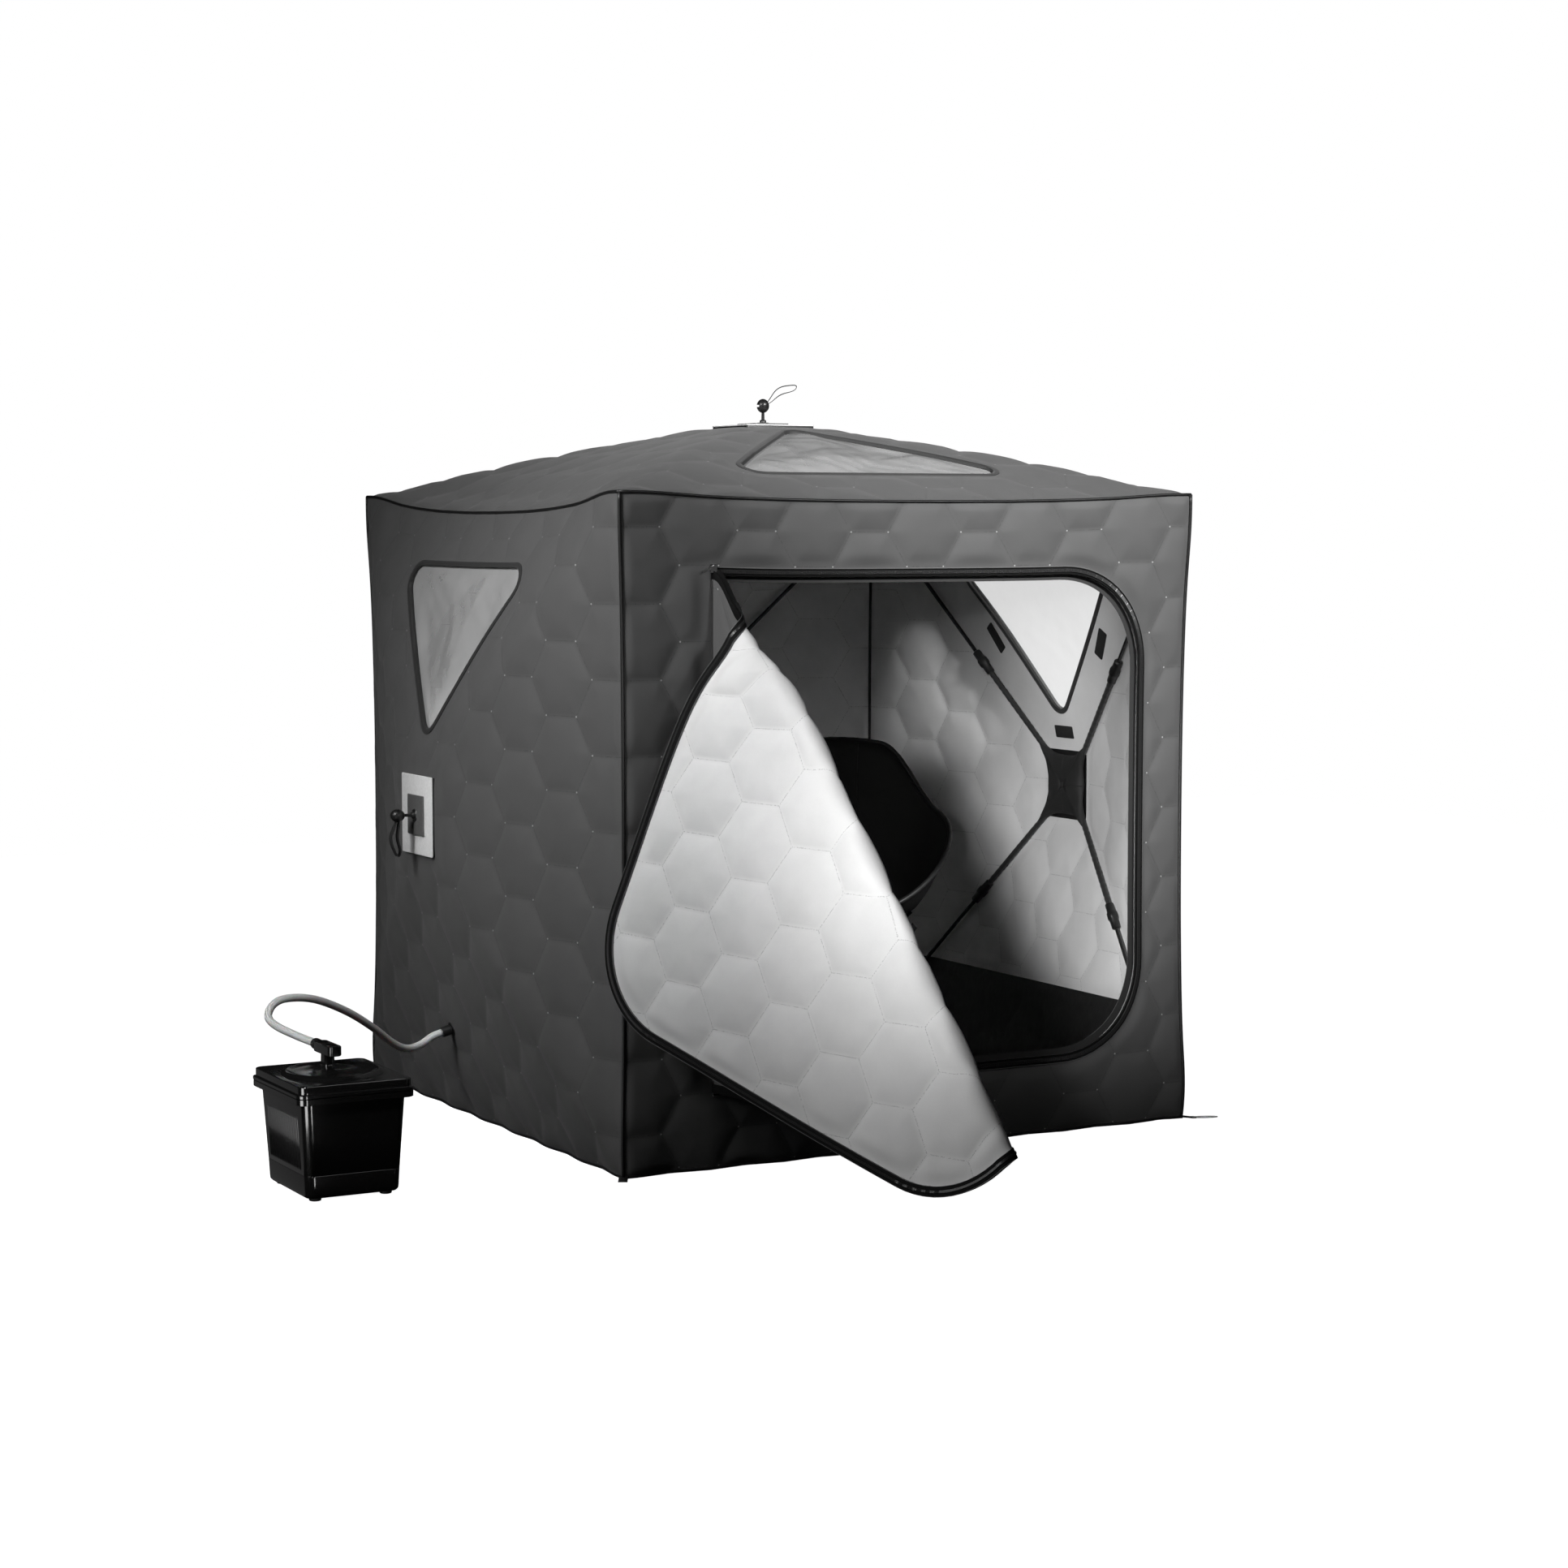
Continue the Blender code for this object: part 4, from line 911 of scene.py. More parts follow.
# ---- hubs and poles -----------------------------------------------------------------------------
PIVOT_R, POLE_SINK = 0.080, 0.024
POLE_PITCH = math.atan(SLOPE / math.sqrt(2))
HUB_MIDDLE = SLOPE * (HALF - PIVOT_R / math.sqrt(2)) - POLE_SINK     # height of the poles' pivots over a wall
CLIP_AT, CLIP_LONG = 0.395, 0.085 # the clip that ties a pole to its wall, from the pole's pivot
PLATE_HALF, PLATE_THICK, CENTRE_HALF, CENTRE_THICK = 0.100, 0.008, 0.050, 0.004
BALL_STAND, BALL_RADIUS = 0.046, 0.0165
STRAP_LENGTH, STRAP_SPREAD = 0.092, 0.013
COVER_HALF, COVER_HOLLOW, COVER_EAR = 0.083, 0.019, 0.016


def in_wall(wall):
    """place(a, b, h) for rigid pieces of a wall: no sag, h from the cube's face outward."""
    n, u, v = (Vector(d) for d in WALLS[wall])
    return lambda a, b, h: Vector((0, 0, HALF)) + u * a + v * b + n * (HALF + h)


def rounded_loop(half_a, half_b, radius, h, place, steps=7):
    """One ring of a rounded rectangle, with a few points along its straight sides."""
    corners = [(half_a, half_b), (-half_a, half_b), (-half_a, -half_b), (half_a, -half_b)]
    return [place(float(a), float(b), h) for a, b in rounded(corners, radius, steps)]


def slab(name, levels, place, mat, body=None, slot=None, steps=7, sharp=40):
    """A closed body through rounded rectangles: levels are (half a, half b, corner radius, height)."""
    loops = [rounded_loop(*level, place, steps) for level in levels]
    points, faces = capped(*skin_of(loops), len(loops[0]))
    obj = piece(name, points, faces, mat, body, slot)
    obj.data.set_sharp_from_angle(angle=math.radians(sharp))
    return obj


def tile(name, half_a, half_b, radius, low, high, place, mat, body, slot, edge=0.0012):
    """A flat plate with softened edges."""
    bevel = edge * 0.3
    levels = [(half_a - edge, half_b - edge, radius, low), (half_a, half_b, radius, low + edge),
              (half_a, half_b, radius, high - edge), (half_a - bevel, half_b - bevel, radius, high - bevel),
              (half_a - edge, half_b - edge, radius, high)]
    return slab(name, levels, place, mat, body, slot)


def hub_outside(wall):
    """Pale plate on its black backing, grey centre plate, and the pull bolt with its strap."""
    body = f"hub_{wall}"
    place = in_wall(wall)
    droop = lambda a, b, h: place(a, b, h - 0.5 * (a * a + b * b) ** 1.5)
    top = RISE + PLATE_THICK
    face = tile(f"hub_plate_face_{wall}", PLATE_HALF, PLATE_HALF, 0.004, top - 0.0028, top, droop,
                M["plate"], body, "hub_plate", 0.0008)
    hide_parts(f"hub_plate_{wall}")
    backing = PLATE_HALF - 0.001
    tile(f"hub_plate_backing_{wall}", backing, backing, 0.005, top - 0.010, top - 0.0029, droop,
         M["plastic"], body, "black_plastic")
    tile(f"hub_plate_centre_{wall}", CENTRE_HALF, CENTRE_HALF, 0.002, top - 0.0005, top + CENTRE_THICK, place,
         M["plate_centre"], body, "hub_plate", 0.0008)
    pull_bolt(wall, place, top + CENTRE_THICK + 0.0003, body)


def pull_bolt(wall, place, base, body):
    n = Vector(WALLS[wall][0])
    seat = place(0, 0, base)
    disc = [(0, 0.0150), (0.0010, 0.0156), (0.0022, 0.0150), (0.0022, 0.0085), (0.0010, 0.0080)]
    washer = turned(f"pull_washer_{wall}", seat, n, disc, M["metal"], body, "bright_metal", 32)
    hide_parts(f"pull_strap_{wall}")
    nut = [(0, 0.0075), (0.001, 0.0085), (0.006, 0.0085), (0.008, 0.0070), (0.009, 0.0042), (0.034, 0.0036),
           (0.036, 0.0045)]
    turned(f"pull_stem_{wall}", seat + n * 0.001, n, nut, M["plastic"], body, "black_plastic", 20)
    centre = seat + n * BALL_STAND
    arc = [(BALL_RADIUS * 1.12 * math.sin(t), BALL_RADIUS * math.cos(t))
           for t in (math.radians(a) for a in range(-80, 81, 16))]
    ball = turned(f"pull_ball_{wall}", centre, n, arc, M["plastic"], body, "black_plastic", 28)
    hang = Vector((0.75, -0.40, 0.50)).normalized() if wall == "roof" else Vector((0, 0, -1))
    out = (n - hang * n.dot(hang)).normalized()
    across = hang.cross(out)
    cut_slot(ball, centre - across * 0.03, centre + across * 0.03, 0.003, n)

    loops = []
    steps = 56
    for i in range(steps):
        t = math.tau * i / steps
        drop = STRAP_LENGTH * (1 - math.cos(t)) / 2
        spread = STRAP_SPREAD * math.sin(t) * (0.35 + 0.65 * (1 - math.cos(t)) / 2)
        curl = 0.010 * math.sin(math.pi * drop / STRAP_LENGTH) ** 2
        twist = across * 0.0015 * math.sin(2 * t)
        point = centre + hang * (BALL_RADIUS * 0.6 + drop) + out * (spread + curl) + twist
        outward = (out * math.sin(t) - hang * math.cos(t)).normalized()
        broad = across * (0.0100 - 0.0022 * math.exp(-(i / steps * 8) ** 2))
        loops.append([point + outward * y + broad * x for x, y in
                      ((-1, -0.0006), (-1, 0.0006), (-0.9, 0.0010), (0.9, 0.0010), (1, 0.0006), (1, -0.0006),
                       (0.9, -0.0010), (-0.9, -0.0010))])
    points, faces = skin_of(loops, closed_run=True)
    piece(f"pull_loop_{wall}", points, faces, M["webbing"], body, "webbing")


def cut_slot(obj, start, end, half, n):
    """Cuts a straight groove across a knob, for the strap."""
    side = n.normalized()
    up = (end - start).normalized().cross(side)
    corners = ((-1, -1), (1, -1), (1, 3), (-1, 3))
    loops = [[p + side * a * half + up * b * 0.004 + up * 0.014 for a, b in corners] for p in (start, end)]
    points, faces = capped(*skin_of(loops), 4)
    cutter = piece(obj.name + "_cutter", points, faces, M["plastic"])
    carve(obj, cutter)


def carve(obj, *cutters):
    """Boolean difference, applied, with the cutters removed."""
    for cutter in cutters:
        mesh = bmesh.new()
        mesh.from_mesh(cutter.data)
        bmesh.ops.recalc_face_normals(mesh, faces=mesh.faces)
        mesh.to_mesh(cutter.data)
        mesh.free()
        modifier = obj.modifiers.new("cut", "BOOLEAN")
        modifier.operation, modifier.solver, modifier.object = "DIFFERENCE", "EXACT", cutter
    graph = bpy.context.evaluated_depsgraph_get()
    made = bpy.data.meshes.new_from_object(obj.evaluated_get(graph))
    obj.modifiers.clear()
    obj.data = made
    obj.data.set_sharp_from_angle(angle=math.radians(38))
    for cutter in cutters:
        bpy.data.objects.remove(cutter, do_unlink=True)


def pole_root(wall, number):
    """The direction in which a pole leaves its hub, and the point it turns about."""
    _, u, v = (Vector(d) for d in WALLS[wall])
    angle = math.radians(90 * number - 45)
    toward = u * math.cos(angle) + v * math.sin(angle)
    pivot = in_wall(wall)(PIVOT_R * math.cos(angle), PIVOT_R * math.sin(angle), HUB_MIDDLE)
    return toward, pivot


def hub_inside(wall):
    """The black cover that hides a hub from inside: four quarters, each with a lobe over its pole."""
    n = Vector(WALLS[wall][0])
    place = in_wall(wall)
    profile = ((0.03, 0.007), (0.5, 0.007), (0.86, 0.006), (0.97, 0.004), (1.0, -0.001), (0.99, -0.006),
               (0.95, -0.0110), (0.86, -0.0150), (0.6, -0.0185), (0.3, -0.0195), (0.03, -0.0200))
    count = 40
    for number in range(1, 5):
        loops = []
        for i in range(count + 1):
            t = math.radians(90 * (number - 1) + 90 * i / count)
            from_axis = abs((t + math.pi / 4) % (math.pi / 2) - math.pi / 4)
            reach = COVER_HALF
            for _ in range(12):
                hollow = COVER_HOLLOW * (reach * math.sin(from_axis) / (COVER_HALF + COVER_HOLLOW)) ** 2.5
                reach = (COVER_HALF + hollow) / math.cos(from_axis)
            reach += COVER_EAR * math.exp(-((math.pi / 4 - from_axis) / 0.10) ** 2)
            loop = []
            for share, h in profile:
                r = reach * share
                fold = 0.0022 * share * math.sin(6 * t + 2) * math.sin(14 * share)
                slope = math.tan(POLE_PITCH) * max(0.0, r - PIVOT_R)
                loop.append(place(r * math.cos(t), r * math.sin(t), HUB_MIDDLE + h + fold - slope))
            loops.append(loop)
        points, faces = capped(*skin_of(loops), len(profile))
        quarter = piece(f"hub_cover_{wall}_{number}", points, [f[::-1] for f in faces], M["webbing"],
                        slot="webbing")
        toward, pivot = pole_root(wall, number)
        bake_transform(quarter)
    stud = [(0, 0.0085), (0.0015, 0.0085), (0.0028, 0.0065), (0.0034, 0.0025)]
    turned(f"hub_cover_stud_{wall}", place(0, 0, HUB_MIDDLE - 0.0185), -n, stud, M["webbing"], f"hub_{wall}",
           "webbing", 20)


def poles():
    """A cloth sleeve on the inner part of each pole, and the clip that ties the pole to its wall."""
    clip = [(-0.5, 0.0085), (-0.46, 0.0118), (-0.16, 0.0122), (-0.10, 0.0150), (0.10, 0.0150),
            (0.16, 0.0122), (0.46, 0.0118), (0.5, 0.0075)]
    for wall in HUBBED:
        n = Vector(WALLS[wall][0])
        for number in range(1, 5):
            toward, pivot = pole_root(wall, number)
            along = toward * math.cos(POLE_PITCH) - n * math.sin(POLE_PITCH)
            body = f"pole_{wall}_{number}"
            sleeve = [pivot + along * x for x in np.linspace(0.022, CLIP_AT - CLIP_LONG / 2 + 0.004, 60)]
            thick = lambda i: 0.0080 + 0.0007 * math.sin(i * 1.9 + number) * math.sin(i * 0.37)
            tube(f"pole_sleeve_{wall}_{number}", sleeve, thick, M["binding"], body, "webbing", sides=12)
            turned(f"pole_clip_{wall}_{number}", pivot + along * CLIP_AT, along,
                   [(x * CLIP_LONG, r) for x, r in clip], M["plastic"], body, "black_plastic", 18)


# ---- sewn details -------------------------------------------------------------------------------
FOUR_CORNERS = ((-1, -1), (1, -1), (1, 1), (-1, 1))


def patches():
    """Three hook-and-loop patches round each window, inside, that hold its cover."""
    for wall, (_, _, _, _, side) in WINDOWS.items():
        base = on_wall(wall, SKIN)
        for number, (a, b, degrees) in enumerate(((0.268, 0.410, 56), (-0.268, 0.410, -56), (0.0, 0.150, 0))):
            c, s = math.cos(math.radians(degrees)), math.sin(math.radians(degrees))

            def place(x, y, h):
                p = np.array([[a + c * x - s * y, (b + s * x + c * y) * side]])
                return Vector(base(p, np.array([-h]))[0])
            patch = tile(f"{wall}_window_patch_{number + 1}", 0.044, 0.0175, 0.004, -0.001, 0.0024, place,
                         M["webbing"], None, "webbing", 0.0005)
            hub_blend(patch, wall, SKIN)


def skirt():
    """Black binding over the join of the pale lining and the black foot of each wall, inside."""
    for wall in ("left", "right", "back"):
        line = np.stack([np.linspace(-0.785, 0.785, 120), np.full(120, SKIRT - HALF)], 1)
        place = on_wall(wall, SKIN)
        section = [(-0.016, 0.0012), (-0.016, -0.0026), (0.013, -0.0026), (0.016, -0.0030), (0.018, -0.0026),
                   (0.018, 0.0012)]
        trim = band(f"{wall}_skirt_binding", line, section, place, [M["ground"], M["edge"]], spacing=0.012,
                    marks=[0, 0, 0, 0, 0, 0], slot="zip_tape")
        hub_blend(trim, wall, SKIN)


def pegging():
    """A webbing tab at each foot corner, with a pale loop for a peg."""
    for number, (sx, sy) in enumerate(FOUR_CORNERS):
        out = Vector((sx * 0.55, sy, 0)).normalized() if sx < 0 else Vector((sx, sy * 0.35, 0)).normalized()
        across = Vector((-out.y, out.x, 0))
        corner = Vector((sx * (HALF - 0.006), sy * (HALF - 0.006), 0))
        loops = []
        for x, z in ((0.0, 0.006), (0.012, 0.005), (0.030, 0.0026), (0.040, 0.0026)):
            loops.append([corner + out * x + across * a + Vector((0, 0, z + b)) for a, b in
                          ((-0.011, -0.0011), (0.011, -0.0011), (0.011, 0.0011), (-0.011, 0.0011))])
        points, faces = capped(*skin_of(loops), 4)
        piece(f"corner_tab_{number + 1}", points, faces, M["webbing"], "cabin", "webbing")
        if sx > 0:
            loops = []
            for i in range(40):
                t = math.tau * i / 40
                middle = corner + out * (0.066 + 0.032 * math.cos(t)) + across * (0.009 * math.sin(t))
                middle.z = 0.0026
                side = (out * math.cos(t) * 0.25 + across * math.sin(t)).normalized()
                loops.append([middle + side * a + Vector((0, 0, b)) for a, b in
                              ((-0.0016, -0.0012), (0.0016, -0.0012), (0.0016, 0.0012), (-0.0016, 0.0012))])
            points, faces = skin_of(loops, closed_run=True)
            piece(f"peg_loop_{number + 1}", points, faces, M["hose"], "cabin", "webbing")


# ---- steamer ------------------------------------------------------------------------------------
STEAMER = (-1.422, -0.560)
BASE_TOP, TANK_FOOT, TANK_TOP, RIM_TOP = 0.0600, 0.0603, 0.2360, 0.2420
LID_CROWN = RIM_TOP + 0.0280
CORNER = 0.022
TANK_WALL = 0.003
RIB_PITCH, RIB_RADIUS = 0.0105, 0.0019
DISC_RADIUS = 0.118


def at_steamer(a, b, h):
    return Vector((STEAMER[0] + a, STEAMER[1] + b, h))


def tank_half(z):
    """Half widths of the tank's outside at a height."""
    t = (z - TANK_FOOT) / (TANK_TOP - TANK_FOOT)
    return 0.115 + 0.010 * t, 0.138 + 0.011 * t


def steamer():
    """Gloss black kettle: base, ribbed tank, stepped lid with a round raised centre, and the outlet bar."""
    steamer_base()
    steamer_tank()
    steamer_lid()
    steam_outlet()


def steamer_base():
    """The base, on four rubber feet."""
    base_levels = [(0.100, 0.122, 0.014, 0.0075), (0.1080, 0.1305, 0.018, 0.0085),
                   (0.1122, 0.1350, CORNER, 0.013), (0.1130, 0.1357, CORNER, 0.018),
                   (0.1149, 0.1379, CORNER, BASE_TOP - 0.0010), (0.1143, 0.1373, CORNER, BASE_TOP)]
    base = slab("steamer_base_shell", base_levels, at_steamer, M["gloss"], "cabin", "gloss_shell", 10)
    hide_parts("steamer_base")
    foot = [(0, 0.0125), (0.0012, 0.0140), (0.006, 0.0146), (0.010, 0.0146)]
    for number, (sx, sy) in enumerate(FOUR_CORNERS):
        turned(f"steamer_foot_{number + 1}", at_steamer(sx * 0.085, sy * 0.108, 0), (0, 0, 1), foot,
               M["rubber"], "cabin", "cuff_rubber")


def steamer_tank():
    """The open tank, with a flange round its rim and ribs on its long sides."""
    wide, deep = tank_half(TANK_TOP)
    flange = (0.1402, 0.1642, CORNER)
    levels = [(0.1143, 0.1373, CORNER, TANK_FOOT),
              (*tank_half(TANK_FOOT + 0.0010), CORNER, TANK_FOOT + 0.0010),
              (*tank_half(0.14), CORNER, 0.14), (*tank_half(RIM_TOP - 0.0150), CORNER, RIM_TOP - 0.0150),
              (0.1390, 0.1630, CORNER, RIM_TOP - 0.0147), (*flange, RIM_TOP - 0.0137),
              (*flange, RIM_TOP - 0.0012),
              (0.1390, 0.1630, CORNER, RIM_TOP), (wide - 0.001, deep - 0.001, CORNER, RIM_TOP),
              (wide - TANK_WALL, deep - TANK_WALL, CORNER - TANK_WALL, RIM_TOP - 0.0015),
              (0.115 - TANK_WALL, 0.138 - TANK_WALL, CORNER - TANK_WALL, TANK_FOOT + 0.006),
              (0.108 - TANK_WALL, 0.131 - TANK_WALL, CORNER - TANK_WALL - 0.004, TANK_FOOT + TANK_WALL)]
    tank = slab("steamer_tank_shell", levels, at_steamer, M["gloss"], "cabin", "gloss_shell", 10)
    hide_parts("steamer_tank")
    ribs("steamer_tank_ribs", M["gloss"])


def steamer_lid():
    """The stepped lid, and the round part that stands on it."""
    skirt_size, tier = (0.1410, 0.1650), (0.1352, 0.1592)
    lid_levels = [(0.120, 0.144, CORNER - 0.006, RIM_TOP - 0.0040),
                  (0.120, 0.144, CORNER - 0.006, RIM_TOP + 0.0006),
                  (0.1400, 0.1640, CORNER, RIM_TOP + 0.0006), (*skirt_size, CORNER, RIM_TOP + 0.0016),
                  (*skirt_size, CORNER, RIM_TOP + 0.0078), (0.1402, 0.1642, CORNER, RIM_TOP + 0.0088),
                  (0.1362, 0.1602, CORNER - 0.003, RIM_TOP + 0.0090),
                  (*tier, CORNER - 0.003, RIM_TOP + 0.0104),
                  (*tier, CORNER - 0.003, RIM_TOP + 0.0256),
                  (0.1344, 0.1584, CORNER - 0.003, RIM_TOP + 0.0272),
                  (0.1328, 0.1568, CORNER - 0.004, RIM_TOP + 0.0278),
                  (0.1240, 0.1480, CORNER - 0.006, LID_CROWN)]
    lid = slab("steamer_lid_shell", lid_levels, at_steamer, M["gloss"], "lid", "gloss_shell", 10, sharp=30)
    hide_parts("steamer_lid")
    ring = [(-0.002, DISC_RADIUS), (0.0004, DISC_RADIUS), (0.0040, DISC_RADIUS - 0.0030),
            (0.0076, DISC_RADIUS - 0.0085), (0.0086, DISC_RADIUS - 0.0120), (0.0082, DISC_RADIUS - 0.0150),
            (0.0050, DISC_RADIUS - 0.0230), (0.0042, DISC_RADIUS - 0.0300), (0.0046, 0.060), (0.0066, 0.030),
            (0.0074, 0.016)]
    turned("steamer_lid_disc", at_steamer(0, 0, LID_CROWN), (0, 0, 1), ring, M["gloss"], "lid",
           "gloss_shell", 72)


def steam_outlet():
    """The bar that the hose plugs into, with two slots, on its post."""
    low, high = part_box("steam_outlet")
    middle = [(low[k] + high[k]) / 2 for k in range(3)]
    place = lambda a, b, h: Vector((middle[0] + a, middle[1] + b, h))
    half_x, half_y = (high[0] - low[0]) / 2, (high[1] - low[1]) / 2
    top, foot = high[2], high[2] - 0.024
    slot_levels = [(0.0085, 0.019, 0.0080, top - 0.009), (0.0095, 0.020, 0.0088, top + 0.01)]
    bar_levels = [(half_x - 0.002, half_y - 0.002, 0.010, foot), (half_x, half_y, 0.011, foot + 0.002),
                  (half_x, half_y, 0.011, top - 0.002), (half_x - 0.002, half_y - 0.002, 0.010, top)]
    bar = slab("outlet_bar", bar_levels, place, M["gloss"], "lid", "black_plastic", 8)
    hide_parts("steam_outlet")
    cutters = []
    for shift in (-0.026, 0.026):
        hole = lambda a, b, h, shift=shift: place(a, b + shift, h)
        cutters.append(slab(f"outlet_slot_{shift}", slot_levels, hole, M["gloss"]))
    carve(bar, *cutters)
    post_levels = [(0.015, 0.022, 0.010, LID_CROWN), (0.013, 0.020, 0.010, LID_CROWN + 0.006),
                   (0.0125, 0.019, 0.010, foot + 0.003)]
    slab("outlet_post", post_levels, place, M["gloss"], "lid", "black_plastic")


def ribs(name, mat):
    """Upright half-round ribs on the two long sides of the tank, one mesh."""
    points, faces = [], []
    low, high = 0.070, 0.195
    for sign in (-1, 1):
        reach = 0.138 - CORNER - 0.014
        count = int(2 * reach / RIB_PITCH)
        for i in range(count + 1):
            at = (i - count / 2) * RIB_PITCH
            loops = []
            for step, z in enumerate((low, low + 0.004, 0.13, high - 0.006, high)):
                face = tank_half(z)[0]
                size = RIB_RADIUS * (0.15 if step in (0, 4) else 1.0)
                loop = []
                for t in (math.radians(a) for a in range(0, 181, 30)):
                    off, bulge_out = size * math.cos(t), size * 0.9 * math.sin(t) - 0.0003
                    loop.append(at_steamer(sign * (face + bulge_out), at + off, z))
                loops.append(loop)
            p, f = capped(*skin_of(loops, closed_ring=True), 7)
            faces += [tuple(k + sum(len(q) for q in points) for k in face_) for face_ in f]
            points.append(p)
    piece(name, np.concatenate(points), faces, mat, "cabin", "gloss_shell")


# ---- chair --------------------------------------------------------------------------------------
CHAIR_AT, CHAIR_YAW = (0.40, 0.30), math.radians(-28.5)
PAN_R, PAN_TOP = 0.190, 0.456
RIM_RX, RIM_RY = 0.3076, 0.2596
BACK_TOP, BACK_CROWN = 0.9066, 0.0586
ARM_SHARE = 0.589                # height of the arms as a share of the back's
ARM_FLARE = 0.0126               # the rim is narrower than its oval by this much beside the arms
FLARE_AT, FLARE_WIDTH = 2, 28    # where round the rim, and over how many degrees
CHAIR_SHELL = 0.012


def rim_height(angle):
    """Height of the tub's rim: angle 0 is the side, 90 the back, -90 the front edge of the seat."""
    arm = smooth(-85, 37, angle)
    back = smooth(22, 65, angle)
    rise = BACK_TOP - PAN_TOP - 0.004
    crown = BACK_CROWN * ((90 - angle) / 60) ** 2 * back
    return PAN_TOP + 0.004 + rise * (ARM_SHARE * arm + (1 - ARM_SHARE) * back) - crown


def tub(angle, t, out=0.0):
    """A point of the tub: t 0 at the edge of the seat pan, 1 at the rim; out moves it outward."""
    side = angle if angle <= 90 else 180 - angle
    grow = t ** 0.8
    flare = 1 - math.exp(-((side - FLARE_AT) / FLARE_WIDTH) ** 2)
    rim = RIM_RX - ARM_FLARE * flare * float(smooth(-30, 0, side))
    rx = PAN_R + (rim - PAN_R) * grow + out
    ry = PAN_R + (RIM_RY - PAN_R) * grow + out
    z = PAN_TOP + (float(rim_height(side)) - PAN_TOP) * t ** 1.25
    a = math.radians(angle)
    return in_chair(rx * math.cos(a), ry * math.sin(a), z)


def in_chair(x, y, z):
    c, s = math.cos(CHAIR_YAW), math.sin(CHAIR_YAW)
    return Vector((CHAIR_AT[0] + c * x - s * y, CHAIR_AT[1] + s * x + c * y, z))


def chair():
    """Cloth tub seat with piped rim and two back seams, and the brackets that the legs turn in."""
    count = 96
    angles = [-90 + 360 * i / count for i in range(count)]
    seams = (78.0, 102.0)

    def crease(angle, t):
        gap = min(abs(angle - s) for s in seams)
        return -0.0022 * max(0.0, 1 - gap / 3.0) * (1 if t > 0.1 else 0)

    def cloth(angle, t):
        wave = 0.0022 * math.sin(math.radians(angle) * 5 + 2.0 * t) * math.sin(math.pi * t)
        return wave + crease(angle, t)

    def pan(share, height):
        """A ring of the seat pan, at a share of its radius."""
        turns = [math.radians(a) for a in angles]
        return [in_chair(PAN_R * share * math.cos(t), PAN_R * share * math.sin(t), height(a))
                for a, t in zip(angles, turns)]

    def dished(share):
        """Height round a ring of the pan's top, which sinks in the middle and ripples at its edge."""
        sunk = PAN_TOP - 0.016 * (1 - share ** 2)
        return lambda a: sunk + 0.002 * share * math.sin(math.radians(a * 3))
    inside = [pan(f, dished(f)) for f in (0.12, 0.35, 0.6, 0.8, 0.93)]
    walls = [i / 14 for i in range(15)]
    inside += [[tub(a, t, -cloth(a, t)) for a in angles] for t in walls]
    outside = []
    for t in reversed(walls):
        thick, drop = CHAIR_SHELL * (0.55 + 0.25 * (1 - t)), Vector((0, 0, 0.010 * (1 - t)))
        outside.append([tub(a, t, thick + cloth(a, t)) - drop for a in angles])
    under = [pan(f, lambda a, f=f: PAN_TOP - 0.012 - 0.012 * (1 - f)) for f in (0.9, 0.6, 0.2)]
    points, faces = skin_of(inside + outside + under)
    points, faces = capped(points, faces, count)
    seat = piece("chair_tub_cloth", points, [f[::-1] for f in faces], M["chair"], slot="chair_cloth")
    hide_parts("chair_seat")
    rim = [tub(-90 + 360 * i / 160, 1.0, 0.004) + Vector((0, 0, 0.003)) for i in range(160)]
    thick = lambda i: 0.0068 + 0.0003 * math.sin(i * 2.1)
    piping_ring = tube("chair_rim_piping", rim, thick, M["leather_piping"], slot="chair_cloth", sides=12,
                       closed=True)
    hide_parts("chair_rim")
    made = [seat, piping_ring]
    for number, angle in enumerate(seams):
        line = [tub(angle, t, -0.0015 - cloth(angle, t)) for t in np.linspace(0.06, 0.985, 40)]
        made.append(tube(f"chair_back_seam_{number + 1}", line, 0.0016, M["leather_piping"],
                         slot="chair_cloth", sides=6))
    for obj in made:
        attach(obj, "chair_seat")
        close_sideways(obj)
    chair_brackets()


def close_sideways(obj):
    """Gives a part of the seat a mesh of its own."""
    tuple(in_chair(0, 0, PAN_TOP))
    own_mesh(obj)


def chair_brackets():
    """The bracket and bolt under each corner of the seat."""
    bolt_head = [(0, 0.0062), (0.0015, 0.0062), (0.0030, 0.0042), (0.0034, 0.0015)]
    for number, (sx, sy) in enumerate(FOUR_CORNERS):
        spot = lambda a, b, h, sx=sx, sy=sy: in_chair(sx * 0.165 + a, sy * 0.150 + h, PAN_TOP - 0.030 + b)
        bracket = tile(f"chair_bracket_{number + 1}", 0.024, 0.014, 0.005, -0.0015, 0.0015, spot,
                       M["plastic"], "chair_seat", "leg_tube", 0.0005)
        outward = spot(0, 0, sy) - spot(0, 0, 0)
        bolt = turned(f"chair_bolt_{number + 1}", spot(0.008, 0.0, sy * 0.0015), outward, bolt_head,
                      M["metal"], "chair_seat", "bright_metal", 16)
        for obj in (bracket, bolt):
            close_sideways(obj)


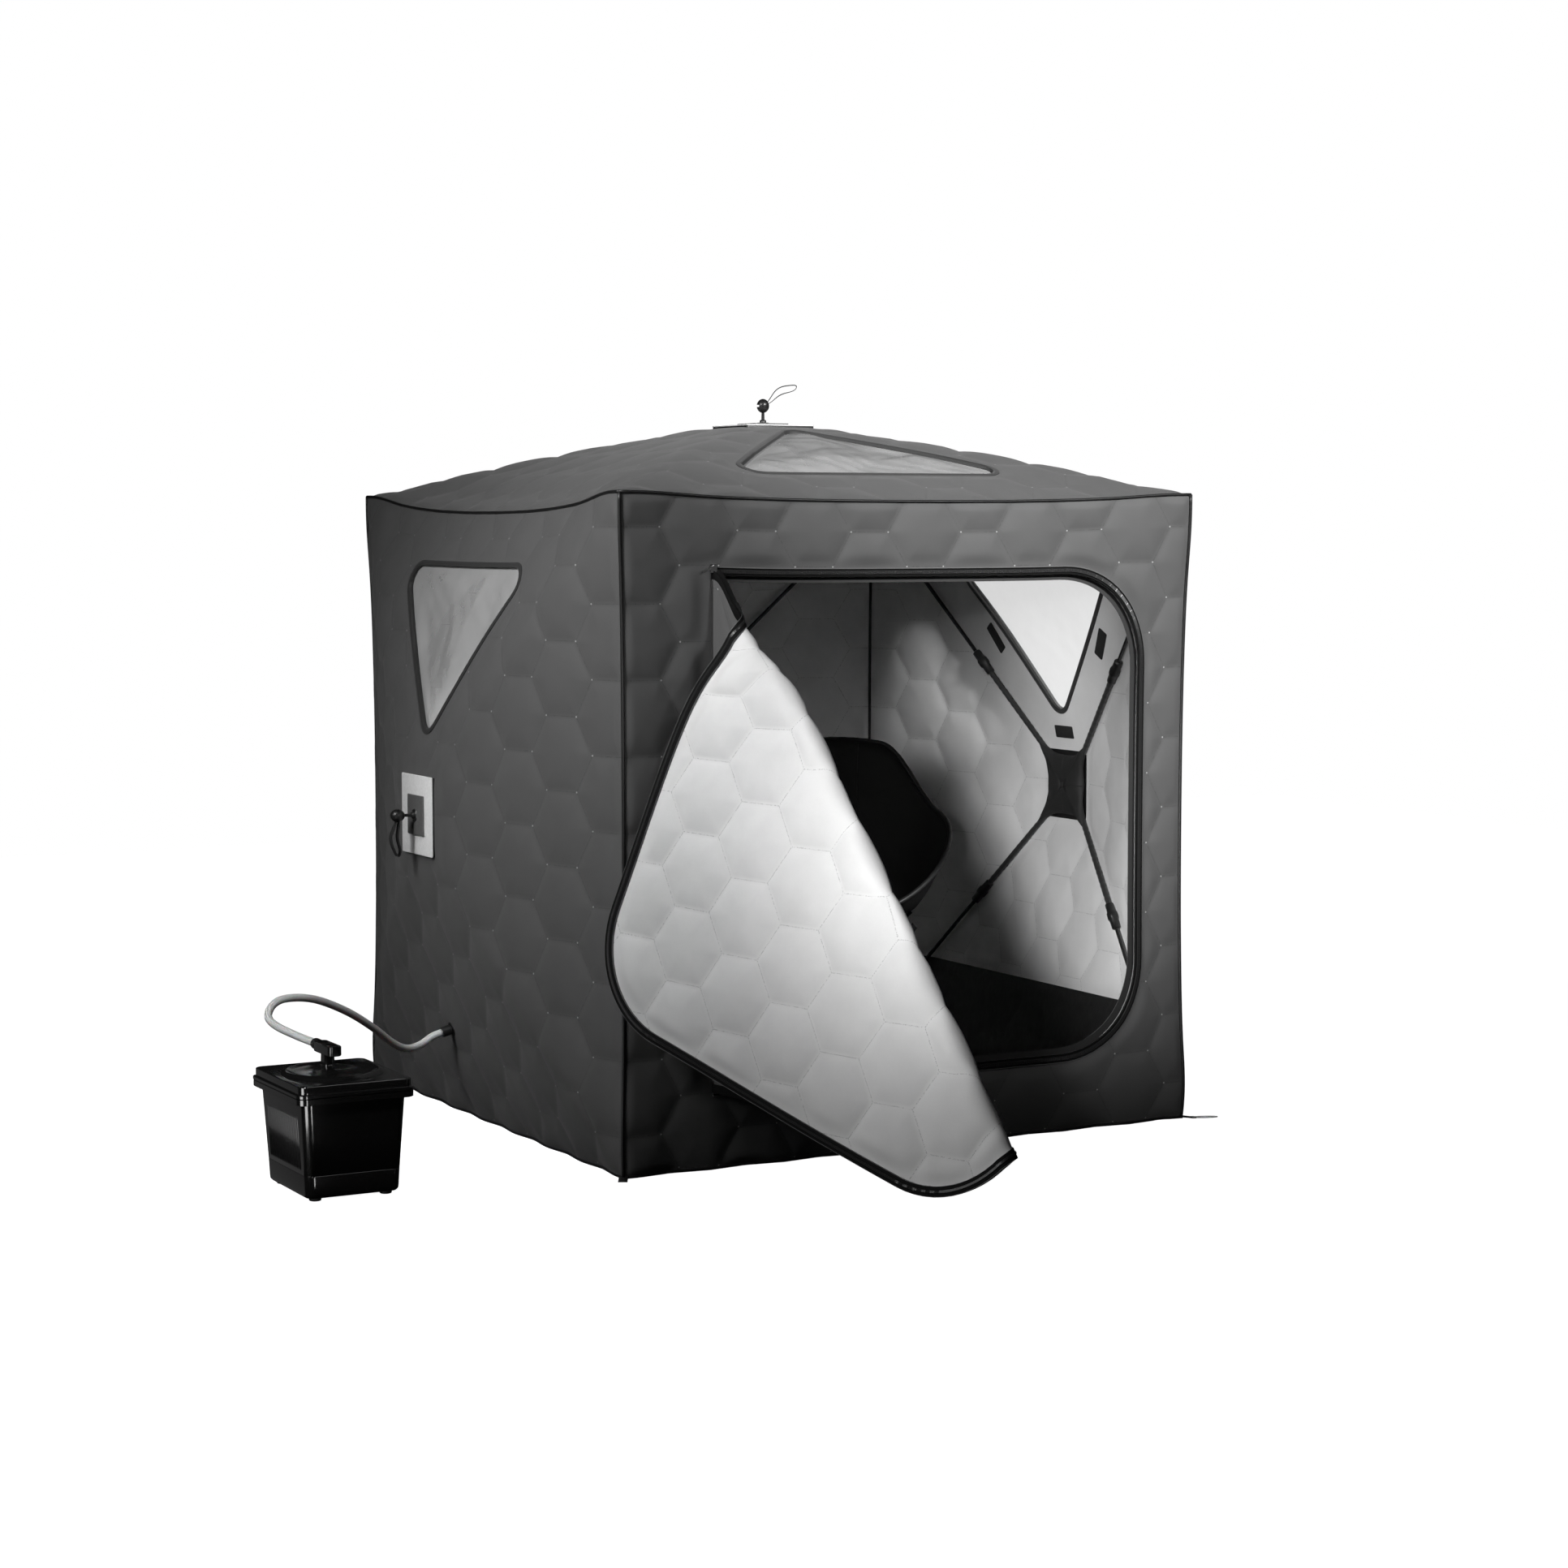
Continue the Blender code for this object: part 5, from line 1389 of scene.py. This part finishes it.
# ---- hose -------------------------------------------------------------------------------------
HOSE_RADIUS = 0.0095
HOSE_ROUTE = (                   # from the steamer's outlet to the port in the left wall
    (-1.400, -0.3885, 0.310), (-1.400, -0.364, 0.310), (-1.424, -0.325, 0.321),
    (-1.460, -0.292, 0.341), (-1.474, -0.270, 0.360), (-1.462, -0.257, 0.383),
    (-1.435, -0.248, 0.397), (-1.388, -0.233, 0.397), (-1.336, -0.210, 0.386),
    (-1.278, -0.178, 0.363), (-1.213, -0.140, 0.330), (-1.143, -0.093, 0.286),
    (-1.083, -0.046, 0.243), (-1.043, -0.018, 0.219), (-1.006, 0.006, 0.209),
    (-0.966, 0.029, 0.2135), (-0.933, 0.0425, 0.2275), (-0.9045, 0.046, 0.2355),
)


def smooth_path(route, spacing):
    """Points about one spacing apart on a Catmull-Rom curve through the route."""
    knots = [Vector(p) for p in route]
    knots = [2 * knots[0] - knots[1], *knots, 2 * knots[-1] - knots[-2]]
    dense = []
    for a, b, c, d in zip(knots, knots[1:], knots[2:], knots[3:]):
        for s in range(12):
            t = s / 12
            dense.append(0.5 * (2 * b + (c - a) * t + (2 * a - 5 * b + 4 * c - d) * t ** 2
                                + (3 * b - a - 3 * c + d) * t ** 3))
    dense.append(knots[-2])
    return resample(dense, spacing)


def hose():
    """The silicone steam hose, from the lid's outlet to the wall port; the cuff on each end is the frame's
    own.
    """
    path = smooth_path(HOSE_ROUTE, 0.008)
    obj = tube("hose_tube", path, HOSE_RADIUS, M["hose"], slot="hose", sides=20)
    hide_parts("steam_hose")
    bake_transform(obj)
    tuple(HOSE_ROUTE[0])


# ---- assembly ---------------------------------------------------------------------------------
FINISHES = (                     # the first start that a node's name has gives its material
    ("pole_", "rod"), ("hub_plate", "plate"), ("hose_cuff", "rubber"), ("steamer_", "gloss"),
    ("steam_outlet", "gloss"), ("zip_slider", "metal"), ("chair_seat", "chair"), ("chair_rim", "chair"),
    ("chair_leg", "leg"), ("chair_pivot", "metal"), ("power_button", "metal"), ("heating", "metal"),
    ("pull_strap", "webbing"),
)


def cad_finishes():
    """Better materials on the CAD nodes that stay; plastic where no finish is listed."""
    for name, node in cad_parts.items():
        key = next((finish for start, finish in FINISHES if name.startswith(start)), "plastic")
        node.data.materials.clear()
        node.data.materials.append(M[key])


camera()
hose()
cad_finishes()
for wall_name in WALLS:
    wall_pieces(wall_name)
windows()
piping()
ground_sheet()
door()
opening_zip()
for wall_name in HUBBED:
    hub_outside(wall_name)
    hub_inside(wall_name)
poles()
patches()
skirt()
pegging()
steamer()
chair()
studio()
